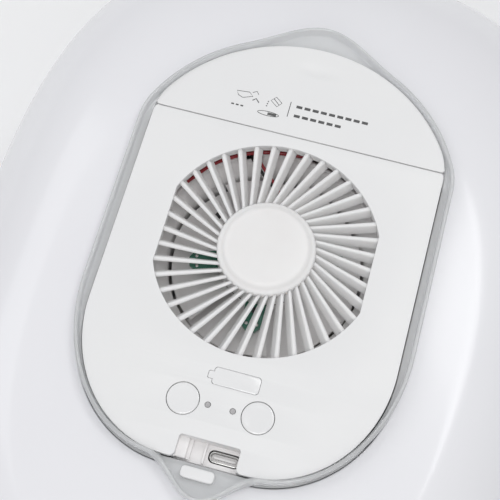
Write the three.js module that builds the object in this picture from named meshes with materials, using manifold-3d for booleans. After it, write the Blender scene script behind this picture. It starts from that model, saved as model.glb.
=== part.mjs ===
// Cool mist humidifier of the evaporative kind: a battery-powered fan head with a clear rim and two
// finger tabs sits in the neck of a pebble-shaped water tank. Millimetres, +Z up. The origin is on the
// floor under the middle of the tank, which is also the fan's axis. The front of the head is towards -Y.
import * as THREE from 'three';
import { mergeVertices } from 'three/addons/utils/BufferGeometryUtils.js';
import Module from 'manifold-3d';

const wasm = await Module();
wasm.setup();

// ---------- Driving dimensions ----------
// Tank
const bodyWidth = 202;
const bodyLength = 266;
const faceHeight = 118;
const deckDrop = 3;
const splitDrop = 50;
const tankWall = 2.2;
const tankOutlinePower = 2.8;
const bowlBottomInsetX = 17;
const bowlBottomInsetY = 22;
const bowlCornerRise = 26;
const bowlDraft = 2;
const bowlBandMargin = 3;
const sealThickness = 1.2;
const lipDepth = 6;
const lipThickness = 1.6;
const creaseHalfWidth = 64.5;
const creaseRear = 74;
const creaseFront = 96;
const creaseCentreY = -14;
const creasePower = 2.5;
const creaseSlopeShare = 0.12;
const neckDepth = 9;
const neckWall = 1.6;
const inletCount = 9;
const inletWidth = 3;
const inletPitch = 7.5;
const inletTopDrop = 23;
const inletHeight = 13;

// Feet
const footRadius = 7;
const footHeight = 2.6;
const footRecess = 1;
const footX = 54;
const footY = 76;
const tankClearanceBelow = 1.8;

// Head: white panel outline and clear tray
const panelHalfWidth = 46.6;
const panelTopBulge = 4.6;
const panelTopCentreY = 19.5;
const panelTopBlend = 20;
const panelFrontY = -67.4;
const panelCornerX = 12;
const panelCornerY = -28;
const panelThickness = 2.2;
const rimSideMargin = 3.6;
const rimRearMargin = 1.7;
const rimFrontMargin = 1.1;
const rimCornerInset = 2;
const rimCornerSetback = 6;
const rimWall = 1.2;
const rimRise = 1.8;
const rearTabHalfWidth = 25;
const rearTabReach = 5.8;
const frontTabHalfWidth = 17.5;
const frontTabReach = 9.8;
const flangeThickness = 1.4;
const trayDepth = 30;
const trayWall = 1.2;
const trayFloor = 1.6;
const traySideGap = 0.3;
const neckGap = 0.5;

// Grille and hub
const grilleRadius = 34.2;
const grilleFlat = 31.8;
const slatCount = 40;
const slatDepth = 3.1;
const slatInnerWidth = 0.95;
const slatOuterWidth = 1.6;
const slatSkewRadius = 6;
const slatLean = 1.3;
const slatFirstAngle = 0.8;
const hubRadius = 15;
const hubRise = 1.6;
const hubSkirt = 9.2;

// Seam and top cover
const seamY = 38.1;
const seamGap = 0.35;
const coverThickness = 2;
const shelfThickness = 1.6;
const bayEndGap = 4.5;
const baySideGap = 0.9;

// Controls
const buttonX = 11.1;
const controlsY = -50.7;
const buttonRadius = 4.7;
const buttonThickness = 2.6;
const buttonGap = 0.25;
const lightX = 3.7;
const lightRadius = 0.8;
const lightLength = 4.4;
const windowLeft = -6;
const windowRight = 9.3;
const windowFront = -44.4;
const windowRear = -39.3;
const windowNub = 1.5;
const notchHalfWidth = 9;
const notchRearY = -60.6;
const pocketDepth = 5.6;
const pocketWall = 1.2;
const socketX = 4.8;
const socketWidth = 8.9;
const socketDepthY = 3.3;
const socketHeight = 7;
const tongueX = -1;
const tongueWidth = 9.8;
const tongueY = -70.6;
const tongueLength = 3.4;
const tongueThickness = 1.5;

// Fan
const bladeCount = 7;
const bladeTipRadius = 29.6;
const bladeThickness = 1.1;
const bladeHalfSweep = 29;
const impellerCupRadius = 13.5;
const impellerCupWall = 1;
const magnetThickness = 1.2;
const statorGap = 0.5;
const statorHeight = 7.6;
const bearingRadius = 2.6;
const bearingLength = 2;
const shaftRadius = 1;
const shroudWall = 1.4;
const shroudTipGap = 1;
const shroudMouthMargin = 0.4;
const shroudMouthDrop = 8;
const shroudThroatDrop = 14;
const shroudFlangeWidth = 7;
const shroudScrewMargin = 4.2;
const motorBoardThickness = 1.4;
const motorBoardInset = 0.2;
const motorBoardArm = 23.6;
const motorBoardArmWidth = 6.3;
const motorBoardArmClip = 1.8;
const motorBoardAngles = [17, 92.5, 196.5, 273];
const wireSlotAngle = 111;
const wireSlotWidth = 5.4;
const wireSlotDepth = 2.4;

// Boards, battery and wick
const boardThickness = 1.4;
const boardDrop = 9;
const boardSideInset = 14.6;
const boardFront = -58;
const boardRear = -38;
const boardScrewInset = 5;
const panelScrewInset = 7.6;
const leadInset = 2.3;
const cellRadius = 7.1;
const cellLength = 50;
const cellSetback = 2.4;
const cellTopDrop = 5.5;
const cradleWall = 1.4;
const wickOuter = 30;
const wickInner = 23;
const wickBottom = 6.4;
const cageWall = 1.4;
const cageRibs = 6;
const leadRadius = 0.7;
const motorLeadRadius = 0.5;
const motorLeadSpacing = 1.8;

// Fits
const restGap = 0.2;
const slideGap = 0.3;
const screwHead = 2.6;
const screwShank = 1.1;
const screwHeadHeight = 1.4;
const bossRadius = 2.8;

// ---------- Derived levels and places ----------
const deckTop = faceHeight - deckDrop;
const splitHeight = faceHeight - splitDrop;
const trayInnerFloor = faceHeight - trayDepth;
const trayBottom = trayInnerFloor - trayFloor;
const flangeBottom = deckTop + restGap;
const ledgeTop = flangeBottom + flangeThickness;
const bowlFloorBottom = tankClearanceBelow;
const bowlFloorTop = bowlFloorBottom + tankWall + footRecess;
const boardTop = faceHeight - boardDrop;
const boardBottom = boardTop - boardThickness;
const hubBottom = faceHeight - hubSkirt;
const motorBoardTop = hubBottom - restGap;
const motorBoardBottom = motorBoardTop - motorBoardThickness;
const statorTop = motorBoardBottom - restGap;
const statorBottom = statorTop - statorHeight;
const cupTop = motorBoardBottom - 2 * slideGap - 1;
const cupBottom = statorBottom - slideGap - impellerCupWall;
const magnetOuter = impellerCupRadius - impellerCupWall - 0.1;
const magnetInner = magnetOuter - magnetThickness;
const statorRadius = magnetInner - statorGap;
const shroudThroat = bladeTipRadius + shroudTipGap;
const shroudMouth = grilleRadius + shroudMouthMargin;
const shroudOuter = shroudMouth + shroudWall;
const shroudTop = faceHeight - shroudMouthDrop;
const shroudFlangeRadius = shroudThroat + shroudFlangeWidth;
const shroudScrewRadius = shroudThroat + shroudScrewMargin;
const cellY = seamY + cellSetback + cellRadius;
const cellDrop = cellTopDrop + cellRadius;
const bayHalfLength = cellLength / 2 + bayEndGap;
const bayHalfWidth = cellRadius + baySideGap;
const boardHalfLength = panelHalfWidth - boardSideInset;
const boardScrewX = boardHalfLength - boardScrewInset;
const panelScrewX = panelHalfWidth - panelScrewInset;
const leadX = panelHalfWidth - leadInset;
const panelScrewSpots = [[panelScrewX, 28], [-panelScrewX, 28], [panelScrewX, -32], [-panelScrewX, -32]];
const boardScrewSpots = [[boardScrewX, controlsY], [-boardScrewX, controlsY]];
const shroudScrewAngles = [45, 165, 285];

// ---------- Small tools ----------
const up = new THREE.Vector3(0, 0, 1);

// A closed three.js geometry as a solid that can be joined and cut.
function solid(geometry) {
  const bare = geometry.clone();
  bare.deleteAttribute('normal');
  bare.deleteAttribute('uv');
  const merged = mergeVertices(bare, 1e-4);
  const index = merged.index.array;
  const kept = [];
  for (let i = 0; i < index.length; i += 3) {
    const [a, b, c] = [index[i], index[i + 1], index[i + 2]];
    if (a !== b && b !== c && c !== a) kept.push(a, b, c);
  }
  const vertProperties = new Float32Array(merged.attributes.position.array);
  return new wasm.Manifold(new wasm.Mesh({ numProp: 3, vertProperties, triVerts: new Uint32Array(kept) }));
}

function join(...solids) {
  return solids.reduce((sum, next) => sum.add(next));
}

// Outline points, anticlockwise, pushed up from z0 to z1.
function prism(points, z0, z1, holes = []) {
  const shape = new THREE.Shape(points.map(([x, y]) => new THREE.Vector2(x, y)));
  for (const hole of holes) shape.holes.push(new THREE.Path(hole.map(([x, y]) => new THREE.Vector2(x, y))));
  const geometry = new THREE.ExtrudeGeometry(shape, { depth: z1 - z0, bevelEnabled: false });
  return solid(geometry.translate(0, 0, z0));
}

function rod(radius, z0, z1, x = 0, y = 0, sides = 16) {
  const geometry = new THREE.CylinderGeometry(radius, radius, z1 - z0, sides).rotateX(Math.PI / 2);
  return solid(geometry.translate(x, y, (z0 + z1) / 2));
}

function pipe(outer, inner, z0, z1, x = 0, y = 0, sides = 32) {
  return rod(outer, z0, z1, x, y, sides).subtract(rod(inner, z0 - 1, z1 + 1, x, y, sides));
}

function block(x0, x1, y0, y1, z0, z1) {
  const geometry = new THREE.BoxGeometry(x1 - x0, y1 - y0, z1 - z0);
  return solid(geometry.translate((x0 + x1) / 2, (y0 + y1) / 2, (z0 + z1) / 2));
}

// A profile of [radius, height] pairs turned about the fan's axis. It closes on itself or on the axis.
function turned(profile, sides = 36) {
  const points = profile.map(([r, z]) => new THREE.Vector2(r, z));
  return solid(new THREE.LatheGeometry(points, sides).rotateX(Math.PI / 2));
}

// Rings of equal length skinned one to the next; a flat fan closes the first and the last.
function skinned(rings) {
  const count = rings[0].length;
  const positions = rings.flat(2);
  const index = [];
  for (let r = 0; r + 1 < rings.length; r += 1) {
    for (let i = 0; i < count; i += 1) {
      const a = r * count + i;
      const b = r * count + ((i + 1) % count);
      index.push(a, b, b + count, a, b + count, a + count);
    }
  }
  for (const [ring, first] of [[0, true], [rings.length - 1, false]]) {
    const centre = positions.length / 3;
    const middle = [0, 1, 2].map((k) => rings[ring].reduce((sum, p) => sum + p[k], 0) / count);
    positions.push(...middle);
    for (let i = 0; i < count; i += 1) {
      const a = ring * count + i;
      const b = ring * count + ((i + 1) % count);
      if (first) index.push(centre, b, a);
      else index.push(centre, a, b);
    }
  }
  const geometry = new THREE.BufferGeometry();
  geometry.setAttribute('position', new THREE.Float32BufferAttribute(positions, 3));
  geometry.setIndex(index);
  return solid(geometry);
}

// A tube along a smooth curve through chosen points.
function lead(points, radius, steps) {
  const curve = new THREE.CatmullRomCurve3(points.map((p) => new THREE.Vector3(...p)));
  const section = new THREE.Shape();
  section.absarc(0, 0, radius, 0, 2 * Math.PI);
  const settings = { steps, extrudePath: curve, curveSegments: 3, bevelEnabled: false };
  return solid(new THREE.ExtrudeGeometry(section, settings));
}

function arcPoints(cx, cy, rx, ry, from, to, steps) {
  return Array.from({ length: steps + 1 }, (_, i) => {
    const angle = THREE.MathUtils.degToRad(from + ((to - from) * i) / steps);
    return [cx + rx * Math.cos(angle), cy + ry * Math.sin(angle)];
  });
}

function roundedBox(x0, x1, y0, y1, radius) {
  return [
    ...arcPoints(x1 - radius, y0 + radius, radius, radius, -90, 0, 4),
    ...arcPoints(x1 - radius, y1 - radius, radius, radius, 0, 90, 4),
    ...arcPoints(x0 + radius, y1 - radius, radius, radius, 90, 180, 4),
    ...arcPoints(x0 + radius, y0 + radius, radius, radius, 180, 270, 4),
  ];
}

// Head outline: straight sides, one large arc at the rear and elliptical corners at the front.
function headOutline(size, grow) {
  const halfWidth = size.halfWidth + grow;
  const topRadius = size.topRadius + grow;
  const blend = panelTopBlend + grow;
  const blendX = halfWidth - blend;
  const blendY = panelTopCentreY + Math.sqrt((topRadius - blend) ** 2 - blendX ** 2);
  const turn = THREE.MathUtils.radToDeg(Math.atan2(blendY - panelTopCentreY, blendX));
  const cornerWidth = halfWidth - size.cornerX;
  const cornerLength = size.cornerY - size.frontY + grow;
  return [
    ...arcPoints(size.cornerX, size.cornerY, cornerWidth, cornerLength, -90, 0, 7),
    ...arcPoints(blendX, blendY, blend, blend, 0, turn, 3),
    ...arcPoints(0, panelTopCentreY, topRadius, topRadius, turn, 180 - turn, 14).slice(1, -1),
    ...arcPoints(-blendX, blendY, blend, blend, 180 - turn, 180, 3),
    ...arcPoints(-size.cornerX, size.cornerY, cornerWidth, cornerLength, 180, 270, 7),
    ...[-0.5, 0, 0.5].map((t) => [t * size.cornerX, size.frontY - grow]),
  ];
}

const panelSize = {
  halfWidth: panelHalfWidth,
  topRadius: panelHalfWidth + panelTopBulge,
  frontY: panelFrontY,
  cornerX: panelCornerX,
  cornerY: panelCornerY,
};
const rimSize = {
  halfWidth: panelHalfWidth + rimSideMargin,
  topRadius: panelHalfWidth + panelTopBulge + rimRearMargin,
  frontY: panelFrontY - rimFrontMargin,
  cornerX: panelCornerX + rimCornerInset,
  cornerY: panelCornerY + rimCornerSetback,
};

function swell(x, halfWidth) {
  const t = Math.min(Math.abs(x) / halfWidth, 1);
  return (1 + Math.cos(Math.PI * t)) / 2;
}

// The rim's outline is the head outline with a finger tab swelling out at each end.
function rimOutline(grow) {
  return headOutline(rimSize, grow).map(([x, y]) => {
    if (y > 0) return [x, y + rearTabReach * swell(x, rearTabHalfWidth + grow)];
    return [x, y - frontTabReach * swell(x, frontTabHalfWidth + grow)];
  });
}

function superPoint(halfX, rear, front, power, t) {
  const [c, s] = [Math.cos(t), Math.sin(t)];
  const x = halfX * Math.sign(c) * Math.abs(c) ** (2 / power);
  const y = (s > 0 ? rear : front) * Math.sign(s) * Math.abs(s) ** (2 / power);
  return [x, y];
}

const ringSides = 44;
const ringAngles = Array.from({ length: ringSides }, (_, i) => (2 * Math.PI * i) / ringSides);

function tankRing(inset, z, insetY = inset) {
  const halfX = bodyWidth / 2 - inset;
  const halfY = bodyLength / 2 - insetY;
  return ringAngles.map((t) => [...superPoint(halfX, halfY, halfY, tankOutlinePower, t), z]);
}

function outlineOf(ring) {
  return ring.map(([x, y]) => [x, y]);
}

// One ring of the deck between the crease (share 0) and the tank's widest line (share 1).
function deckRing(share, inset, top, bottom) {
  const drop = creaseSlopeShare * share + (1 - creaseSlopeShare) * (1 - Math.sqrt(1 - share * share));
  return ringAngles.map((t) => {
    const [cx, cy] = superPoint(creaseHalfWidth, creaseRear, creaseFront, creasePower, t);
    const half = [bodyWidth / 2 - inset, bodyLength / 2 - inset];
    const [rx, ry] = superPoint(half[0], half[1], half[1], tankOutlinePower, t);
    const x = cx + (rx - cx) * share;
    const y = creaseCentreY + cy + (ry - creaseCentreY - cy) * share;
    return [x, y, top - (top - bottom) * drop];
  });
}

const deckShares = [0, 0.3, 0.55, 0.75, 0.88, 0.96, 1];

// ---------- Tank ----------
function makeTankBowl() {
  const top = splitHeight - sealThickness / 2 - restGap;
  const band = splitHeight - lipDepth - bowlBandMargin;
  const outer = [];
  const inner = [];
  for (const angle of [0, 30, 60, 90]) {
    const a = THREE.MathUtils.degToRad(angle);
    const insetX = bowlDraft + bowlBottomInsetX * (1 - Math.sin(a));
    const insetY = bowlDraft + bowlBottomInsetY * (1 - Math.sin(a));
    const rise = (1 - Math.cos(a)) * bowlCornerRise;
    const innerRise = (1 - Math.cos(a)) * (bowlCornerRise - tankWall);
    outer.push(tankRing(insetX, bowlFloorBottom + rise, insetY));
    inner.push(tankRing(insetX + tankWall, bowlFloorTop + innerRise, insetY + tankWall));
  }
  outer.push(tankRing(0, band), tankRing(0, top));
  inner.push(tankRing(tankWall, band), tankRing(tankWall, top));
  let bowl = skinned([...outer, ...inner.reverse()]);
  for (const [x, y] of footSpots()) {
    bowl = bowl.subtract(rod(footRadius + restGap, 0, bowlFloorBottom + footRecess, x, y, 28));
  }
  return bowl;
}

function footSpots() {
  return [[footX, footY], [-footX, footY], [footX, -footY], [-footX, -footY]];
}

function makeFoot([x, y]) {
  return rod(footRadius, 0, Math.min(footHeight, bowlFloorBottom + footRecess - restGap), x, y, 24);
}

function ringBetween(insetOuter, insetInner, z0, z1) {
  return prism(outlineOf(tankRing(insetOuter, 0)), z0, z1)
    .subtract(prism(outlineOf(tankRing(insetInner, 0)), z0 - 1, z1 + 1));
}

function makeTankSeal() {
  return ringBetween(0.3, tankWall + 0.1, splitHeight - sealThickness / 2, splitHeight + sealThickness / 2);
}

function makeTankDeck() {
  const bottom = splitHeight + sealThickness / 2 + restGap;
  const outer = deckShares.map((share) => deckRing(share, 0, deckTop, bottom));
  const inner = deckShares.map((share) => deckRing(share, tankWall, deckTop - tankWall, bottom));
  const dome = skinned([...outer, ...inner.reverse()].reverse());
  const lipInset = tankWall + slideGap + 0.1;
  const lip = ringBetween(lipInset, lipInset + lipThickness, splitHeight - lipDepth, bottom + 3);
  const bridge = ringBetween(tankWall / 2, lipInset + lipThickness, bottom, bottom + 3);
  const opening = traySideGap + trayWall + neckGap;
  const neckBottom = deckTop - neckDepth;
  const neckTop = deckTop - tankWall + restGap;
  const neck = prism(headOutline(panelSize, opening + neckWall), neckBottom, neckTop);
  let deck = join(dome, lip, bridge, neck);
  deck = deck.subtract(prism(headOutline(panelSize, opening), neckBottom - 1, deckTop + 1));
  for (let i = 0; i < inletCount; i += 1) {
    const x = (i - (inletCount - 1) / 2) * inletPitch;
    const z = faceHeight - inletTopDrop;
    const half = inletWidth / 2;
    deck = deck.subtract(block(x - half, x + half, bodyLength * 0.36, bodyLength, z - inletHeight, z));
  }
  return deck;
}

// ---------- Head tray, panel and cover ----------
function makeHeadTray() {
  const high = faceHeight + rimRise;
  const rim = prism(rimOutline(0), flangeBottom, high)
    .subtract(prism(rimOutline(-rimWall), ledgeTop, high + 1));
  const tub = prism(headOutline(panelSize, traySideGap + trayWall), trayBottom, ledgeTop);
  const hollow = prism(headOutline(panelSize, traySideGap), trayInnerFloor, high + 1);
  let tray = join(rim, tub).subtract(hollow);
  tray = tray.subtract(rod(shroudThroat, trayBottom - 1, trayInnerFloor + 1, 0, 0, 48));
  for (const [x, y] of panelScrewSpots) {
    tray = tray.subtract(rod(screwShank + slideGap, trayBottom - 1, trayInnerFloor + 1, x, y, 12));
  }
  return tray;
}

function grilleOutline(grow) {
  const radius = grilleRadius + grow;
  const flat = grilleFlat + grow;
  const turn = THREE.MathUtils.radToDeg(Math.acos(flat / radius));
  return [
    ...arcPoints(0, 0, radius, radius, turn, 180 - turn, 14),
    ...arcPoints(0, 0, radius, radius, 180 + turn, 360 - turn, 14),
  ];
}

// A straight slat that leans over, running past the hub on a small circle about the axis.
function makeSlat(number) {
  const start = Math.sqrt((hubRadius - 1.5) ** 2 - slatSkewRadius ** 2);
  const end = Math.sqrt((grilleRadius + 1.2) ** 2 - slatSkewRadius ** 2);
  const high = -0.3;
  const low = high - slatDepth;
  const section = (x, width) => [
    [x, slatSkewRadius - width / 2, high],
    [x, slatSkewRadius - slatLean - width / 2, low],
    [x, slatSkewRadius - slatLean + width / 2, low],
    [x, slatSkewRadius + width / 2, high],
  ];
  const turn = THREE.MathUtils.degToRad(slatFirstAngle + (360 / slatCount) * number);
  const place = ([x, y, z]) => {
    const p = new THREE.Vector3(x, y, z).applyAxisAngle(up, turn);
    return [p.x, p.y, p.z + faceHeight];
  };
  return skinned([section(start, slatInnerWidth).map(place), section(end, slatOuterWidth).map(place)]);
}

function makeHub() {
  const top = faceHeight + hubRise;
  return turned([
    [0, top], [hubRadius - 3.2, top - 0.4], [hubRadius - 0.9, top - 1.4], [hubRadius, top - 3.2],
    [hubRadius, hubBottom], [0, hubBottom],
  ].reverse());
}

function makeHeadPanel() {
  const bottom = faceHeight - panelThickness;
  const shelfTop = faceHeight - coverThickness - restGap;
  const shelfBottom = shelfTop - shelfThickness;
  const outline = headOutline(panelSize, 0);
  const beyondSeam = block(-80, 80, seamY, 120, shelfTop, faceHeight + 5);
  let panel = prism(outline, shelfBottom, faceHeight).subtract(beyondSeam);
  panel = panel.subtract(prism(headOutline(panelSize, -2.4), shelfBottom - 1, bottom)
    .intersect(block(-80, 80, -120, seamY - 2, 0, faceHeight)));
  panel = panel.subtract(block(-bayHalfLength, bayHalfLength, cellY - bayHalfWidth, cellY + bayHalfWidth,
    shelfBottom - 1, shelfTop + 1));
  const frame = prism(grilleOutline(1.5), faceHeight - slatDepth - 0.3, bottom + 0.5);
  panel = panel.add(frame).subtract(prism(grilleOutline(0), 0, faceHeight + 5));
  const slats = Array.from({ length: slatCount }, (_, i) => makeSlat(i));
  const grille = join(...slats).intersect(prism(grilleOutline(0.6), 0, faceHeight + 5));
  panel = join(panel, grille, makeHub());
  for (const [x, y] of panelScrewSpots) {
    panel = panel.add(rod(bossRadius, trayInnerFloor + restGap, bottom + 0.5, x, y, 12));
    panel = panel.subtract(rod(screwShank + 0.1, trayInnerFloor, trayInnerFloor + 9, x, y, 8));
  }
  for (const [x, y] of boardScrewSpots) {
    panel = panel.add(rod(bossRadius, boardTop + restGap, bottom + 0.5, x, y, 12));
    panel = panel.subtract(rod(screwShank + 0.1, boardTop, boardTop + 5, x, y, 8));
  }
  return cutControls(panel, bottom);
}

// Button holes, light holes, the battery-shaped window and the charging pocket.
function cutControls(plate, bottom) {
  let panel = plate;
  const pocketFloor = faceHeight - pocketDepth;
  const outer = notchHalfWidth + pocketWall;
  panel = panel.add(block(-outer, outer, panelFrontY + 0.4, notchRearY + pocketWall,
    pocketFloor - pocketWall, bottom + 0.5));
  panel = panel.subtract(block(-notchHalfWidth, notchHalfWidth, panelFrontY - 5, notchRearY,
    pocketFloor, faceHeight + 5));
  const wellX = socketWidth / 2 + slideGap;
  const wellY = socketDepthY / 2 + slideGap;
  panel = panel.subtract(block(socketX - wellX, socketX + wellX, socketY() - wellY, socketY() + wellY,
    pocketFloor - 5, pocketFloor + 1));
  for (const side of [-1, 1]) {
    const hole = buttonRadius + buttonGap;
    panel = panel.subtract(rod(hole, bottom - 3, faceHeight + 5, side * buttonX, controlsY, 24));
    panel = panel.subtract(rod(lightRadius + 0.1, bottom - 3, faceHeight + 5, side * lightX, controlsY, 12));
  }
  return panel.subtract(prism(windowOutline(0.15), bottom - 3, faceHeight + 5));
}

function socketY() {
  return notchRearY - 1 - socketDepthY / 2 - slideGap;
}

// Battery-shaped window: a rounded bar with a small nub at its left end.
function windowOutline(grow) {
  const [left, right] = [windowLeft + windowNub - grow, windowRight + grow];
  const [front, rear] = [windowFront - grow, windowRear + grow];
  const middle = (windowFront + windowRear) / 2;
  const nubHalf = 1.1 + grow;
  const tip = windowLeft - grow;
  return [
    ...arcPoints(right - 0.8, front + 0.8, 0.8, 0.8, -90, 0, 3),
    ...arcPoints(right - 0.8, rear - 0.8, 0.8, 0.8, 0, 90, 3),
    ...arcPoints(left + 0.8, rear - 0.8, 0.8, 0.8, 90, 180, 3),
    [left, middle + nubHalf], [tip + 0.3, middle + nubHalf], [tip, middle + nubHalf - 0.3],
    [tip, middle - nubHalf + 0.3], [tip + 0.3, middle - nubHalf], [left, middle - nubHalf],
    ...arcPoints(left + 0.8, front + 0.8, 0.8, 0.8, 180, 270, 3),
  ];
}

function makeTopCover() {
  const bottom = faceHeight - coverThickness;
  const cover = prism(headOutline(panelSize, 0), bottom, faceHeight)
    .intersect(block(-80, 80, seamY + seamGap, 120, 0, faceHeight + 5));
  const clipDepth = 4.6;
  const clips = [-1, 1].map((side) => {
    const x = side * (bayHalfLength - slideGap - 0.6);
    return block(x - 0.6, x + 0.6, cellY - 3, cellY + 3, bottom - clipDepth, bottom + 0.5);
  });
  return join(cover, ...clips);
}

// ---------- Controls ----------
function makeButton(side) {
  const x = side * buttonX;
  const body = rod(buttonRadius, faceHeight - buttonThickness, faceHeight - 0.05, x, controlsY, 24);
  const stem = rod(1.2, boardTop + 2.9, faceHeight - buttonThickness + 0.3, x, controlsY, 8);
  return join(body, stem);
}

function makeLight(side) {
  return rod(lightRadius, faceHeight - lightLength, faceHeight - 0.1, side * lightX, controlsY, 12);
}

function makeBatteryWindow() {
  return prism(windowOutline(0), faceHeight - 2, faceHeight - 0.05);
}

function makeControlBoard() {
  const outline = roundedBox(-boardHalfLength, boardHalfLength, boardFront, boardRear, 2);
  let board = prism(outline, boardBottom, boardTop);
  for (const [x, y] of boardScrewSpots) {
    board = board.subtract(rod(screwShank + 0.15, boardBottom - 1, boardTop + 1, x, y, 12));
  }
  board = board.subtract(rod(shroudOuter + slideGap, boardBottom - 1, boardTop + 1, 0, 0, 48));
  return board;
}

function makeSwitch(side) {
  const x = side * buttonX;
  const base = block(x - 3, x + 3, controlsY - 3, controlsY + 3, boardTop + restGap, boardTop + 1.6);
  return join(base, rod(1.6, boardTop + 1.5, boardTop + 2, x, controlsY, 16));
}

// Upright socket shell with a tongue inside, mouth upwards.
function makeChargeSocket() {
  const top = faceHeight - pocketDepth - 0.3;
  const bottom = top - socketHeight;
  const shell = roundedBox(socketX - socketWidth / 2, socketX + socketWidth / 2,
    socketY() - socketDepthY / 2, socketY() + socketDepthY / 2, 1.5);
  const bore = roundedBox(socketX - socketWidth / 2 + 0.4, socketX + socketWidth / 2 - 0.4,
    socketY() - socketDepthY / 2 + 0.4, socketY() + socketDepthY / 2 - 0.4, 1.1);
  const tongue = block(socketX - 3.3, socketX + 3.3, socketY() - 0.35, socketY() + 0.35, bottom, top - 0.7);
  return join(prism(shell, bottom, top).subtract(prism(bore, bottom + 1.2, top + 1)), tongue);
}

function makeLatchTongue() {
  const bottom = ledgeTop + restGap;
  const outline = roundedBox(tongueX - tongueWidth / 2, tongueX + tongueWidth / 2,
    tongueY - tongueLength / 2, tongueY + tongueLength / 2, 1.2);
  return prism(outline, bottom, bottom + tongueThickness);
}

// ---------- Fan and motor ----------
function makeShroud() {
  const bottom = trayInnerFloor + restGap;
  const [mouth, throat, wall] = [shroudMouth, shroudThroat, shroudWall];
  const throatTop = faceHeight - shroudThroatDrop;
  let shroud = turned([
    [throat, bottom], [shroudFlangeRadius, bottom], [shroudFlangeRadius, bottom + 1.6],
    [throat + wall, bottom + 1.6], [throat + wall, throatTop - 0.4], [shroudOuter, shroudTop - 0.6],
    [shroudOuter, shroudTop], [mouth, shroudTop], [throat, throatTop], [throat, bottom],
  ]);
  const slot = new THREE.BoxGeometry(12, wireSlotWidth, 2 * wireSlotDepth);
  slot.translate(shroudMouth, 0, shroudTop).rotateZ(THREE.MathUtils.degToRad(wireSlotAngle));
  shroud = shroud.subtract(solid(slot));
  for (const angle of shroudScrewAngles) {
    const [x, y] = onCircle(shroudScrewRadius, angle);
    shroud = shroud.subtract(rod(screwShank + 0.15, bottom - 1, bottom + 3, x, y, 12));
  }
  return shroud;
}

function onCircle(radius, degrees) {
  const angle = THREE.MathUtils.degToRad(degrees);
  return [radius * Math.cos(angle), radius * Math.sin(angle)];
}

// A twisted blade between the cup and the tip circle.
function makeBlade(number) {
  const root = impellerCupRadius - 0.6;
  const middle = (cupTop + cupBottom) / 2;
  const stations = [0, 0.5, 1];
  const place = (radius, share, offset) => {
    const sweep = THREE.MathUtils.degToRad((360 / bladeCount) * number + share);
    return [radius * Math.cos(sweep), radius * Math.sin(sweep), middle + offset];
  };
  const rings = stations.map((s) => {
    const radius = root + (bladeTipRadius - root) * s;
    const half = bladeHalfSweep - s;
    const rise = 4.2 - 1.2 * s;
    const t = bladeThickness / 2;
    return [
      place(radius, -half, -rise - t), place(radius, 0, -0.9 - t), place(radius, half, rise - t),
      place(radius, half, rise + t), place(radius, 0, -0.9 + t), place(radius, -half, -rise + t),
    ];
  });
  return skinned(rings);
}

function makeImpeller() {
  const inner = magnetOuter + 0.1;
  const cup = rod(impellerCupRadius, cupBottom, cupTop, 0, 0, 28)
    .subtract(rod(inner, cupBottom + impellerCupWall, cupTop + 1, 0, 0, 28))
    .subtract(rod(shaftRadius + 0.05, cupBottom - 1, cupTop, 0, 0, 12));
  const blades = Array.from({ length: bladeCount }, (_, i) => makeBlade(i));
  const ring = join(...blades).subtract(rod(inner + 0.2, 0, faceHeight, 0, 0, 28));
  return join(cup, ring);
}

function makeMagnetRing() {
  return pipe(magnetOuter, magnetInner, cupBottom + impellerCupWall + 0.1, cupTop - 0.3, 0, 0, 28);
}

// Stator: a toothed core with a bore for the bearings.
function makeStator() {
  const core = rod(statorRadius * 0.62, statorBottom, statorTop, 0, 0, 24);
  const teeth = Array.from({ length: 9 }, (_, i) => {
    const arm = new THREE.BoxGeometry(statorRadius - 1, 1.8, statorHeight - 1.6);
    const head = new THREE.BoxGeometry(1.2, 4.4, statorHeight - 1.6);
    arm.translate((statorRadius - 1) / 2, 0, 0);
    head.translate(statorRadius - 1, 0, 0);
    const place = (g) => g.translate(0, 0, (statorTop + statorBottom) / 2).rotateZ((2 * Math.PI * i) / 9);
    return join(solid(place(arm)), solid(place(head)));
  });
  return join(core, ...teeth).subtract(rod(bearingRadius + 0.1, statorBottom - 1, statorTop + 1, 0, 0, 20));
}

function makeBearing(z0) {
  return pipe(bearingRadius, shaftRadius + 0.1, z0, z0 + bearingLength, 0, 0, 20);
}

function makeShaft() {
  return rod(shaftRadius, cupBottom, statorTop - 0.3, 0, 0, 16);
}

// Round board under the hub with four arms whose tips are clipped.
function makeMotorBoard() {
  const half = motorBoardArmWidth / 2;
  const [tip, clip] = [motorBoardArm, motorBoardArmClip];
  const corners = [[half, -half], [tip - clip, -half], [tip, clip - half],
    [tip, half - clip], [tip - clip, half], [half, half]];
  const arms = motorBoardAngles.map((degrees) => {
    const points = corners.map(([x, y]) => {
      const p = new THREE.Vector3(x, y, 0).applyAxisAngle(up, THREE.MathUtils.degToRad(degrees));
      return [p.x, p.y];
    });
    return prism(points, motorBoardBottom, motorBoardTop);
  });
  return join(rod(hubRadius - motorBoardInset, motorBoardBottom, motorBoardTop, 0, 0, 40), ...arms);
}

// ---------- Battery ----------
function alongX(radius, length, y, z, sides) {
  const geometry = new THREE.CylinderGeometry(radius, radius, length, sides).rotateZ(Math.PI / 2);
  return solid(geometry.translate(0, y, z));
}

function makeCell() {
  return join(
    alongX(cellRadius, cellLength - 1.2, cellY, faceHeight - cellDrop, 28),
    alongX(3, cellLength + 0.8, cellY, faceHeight - cellDrop, 16),
  );
}

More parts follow.
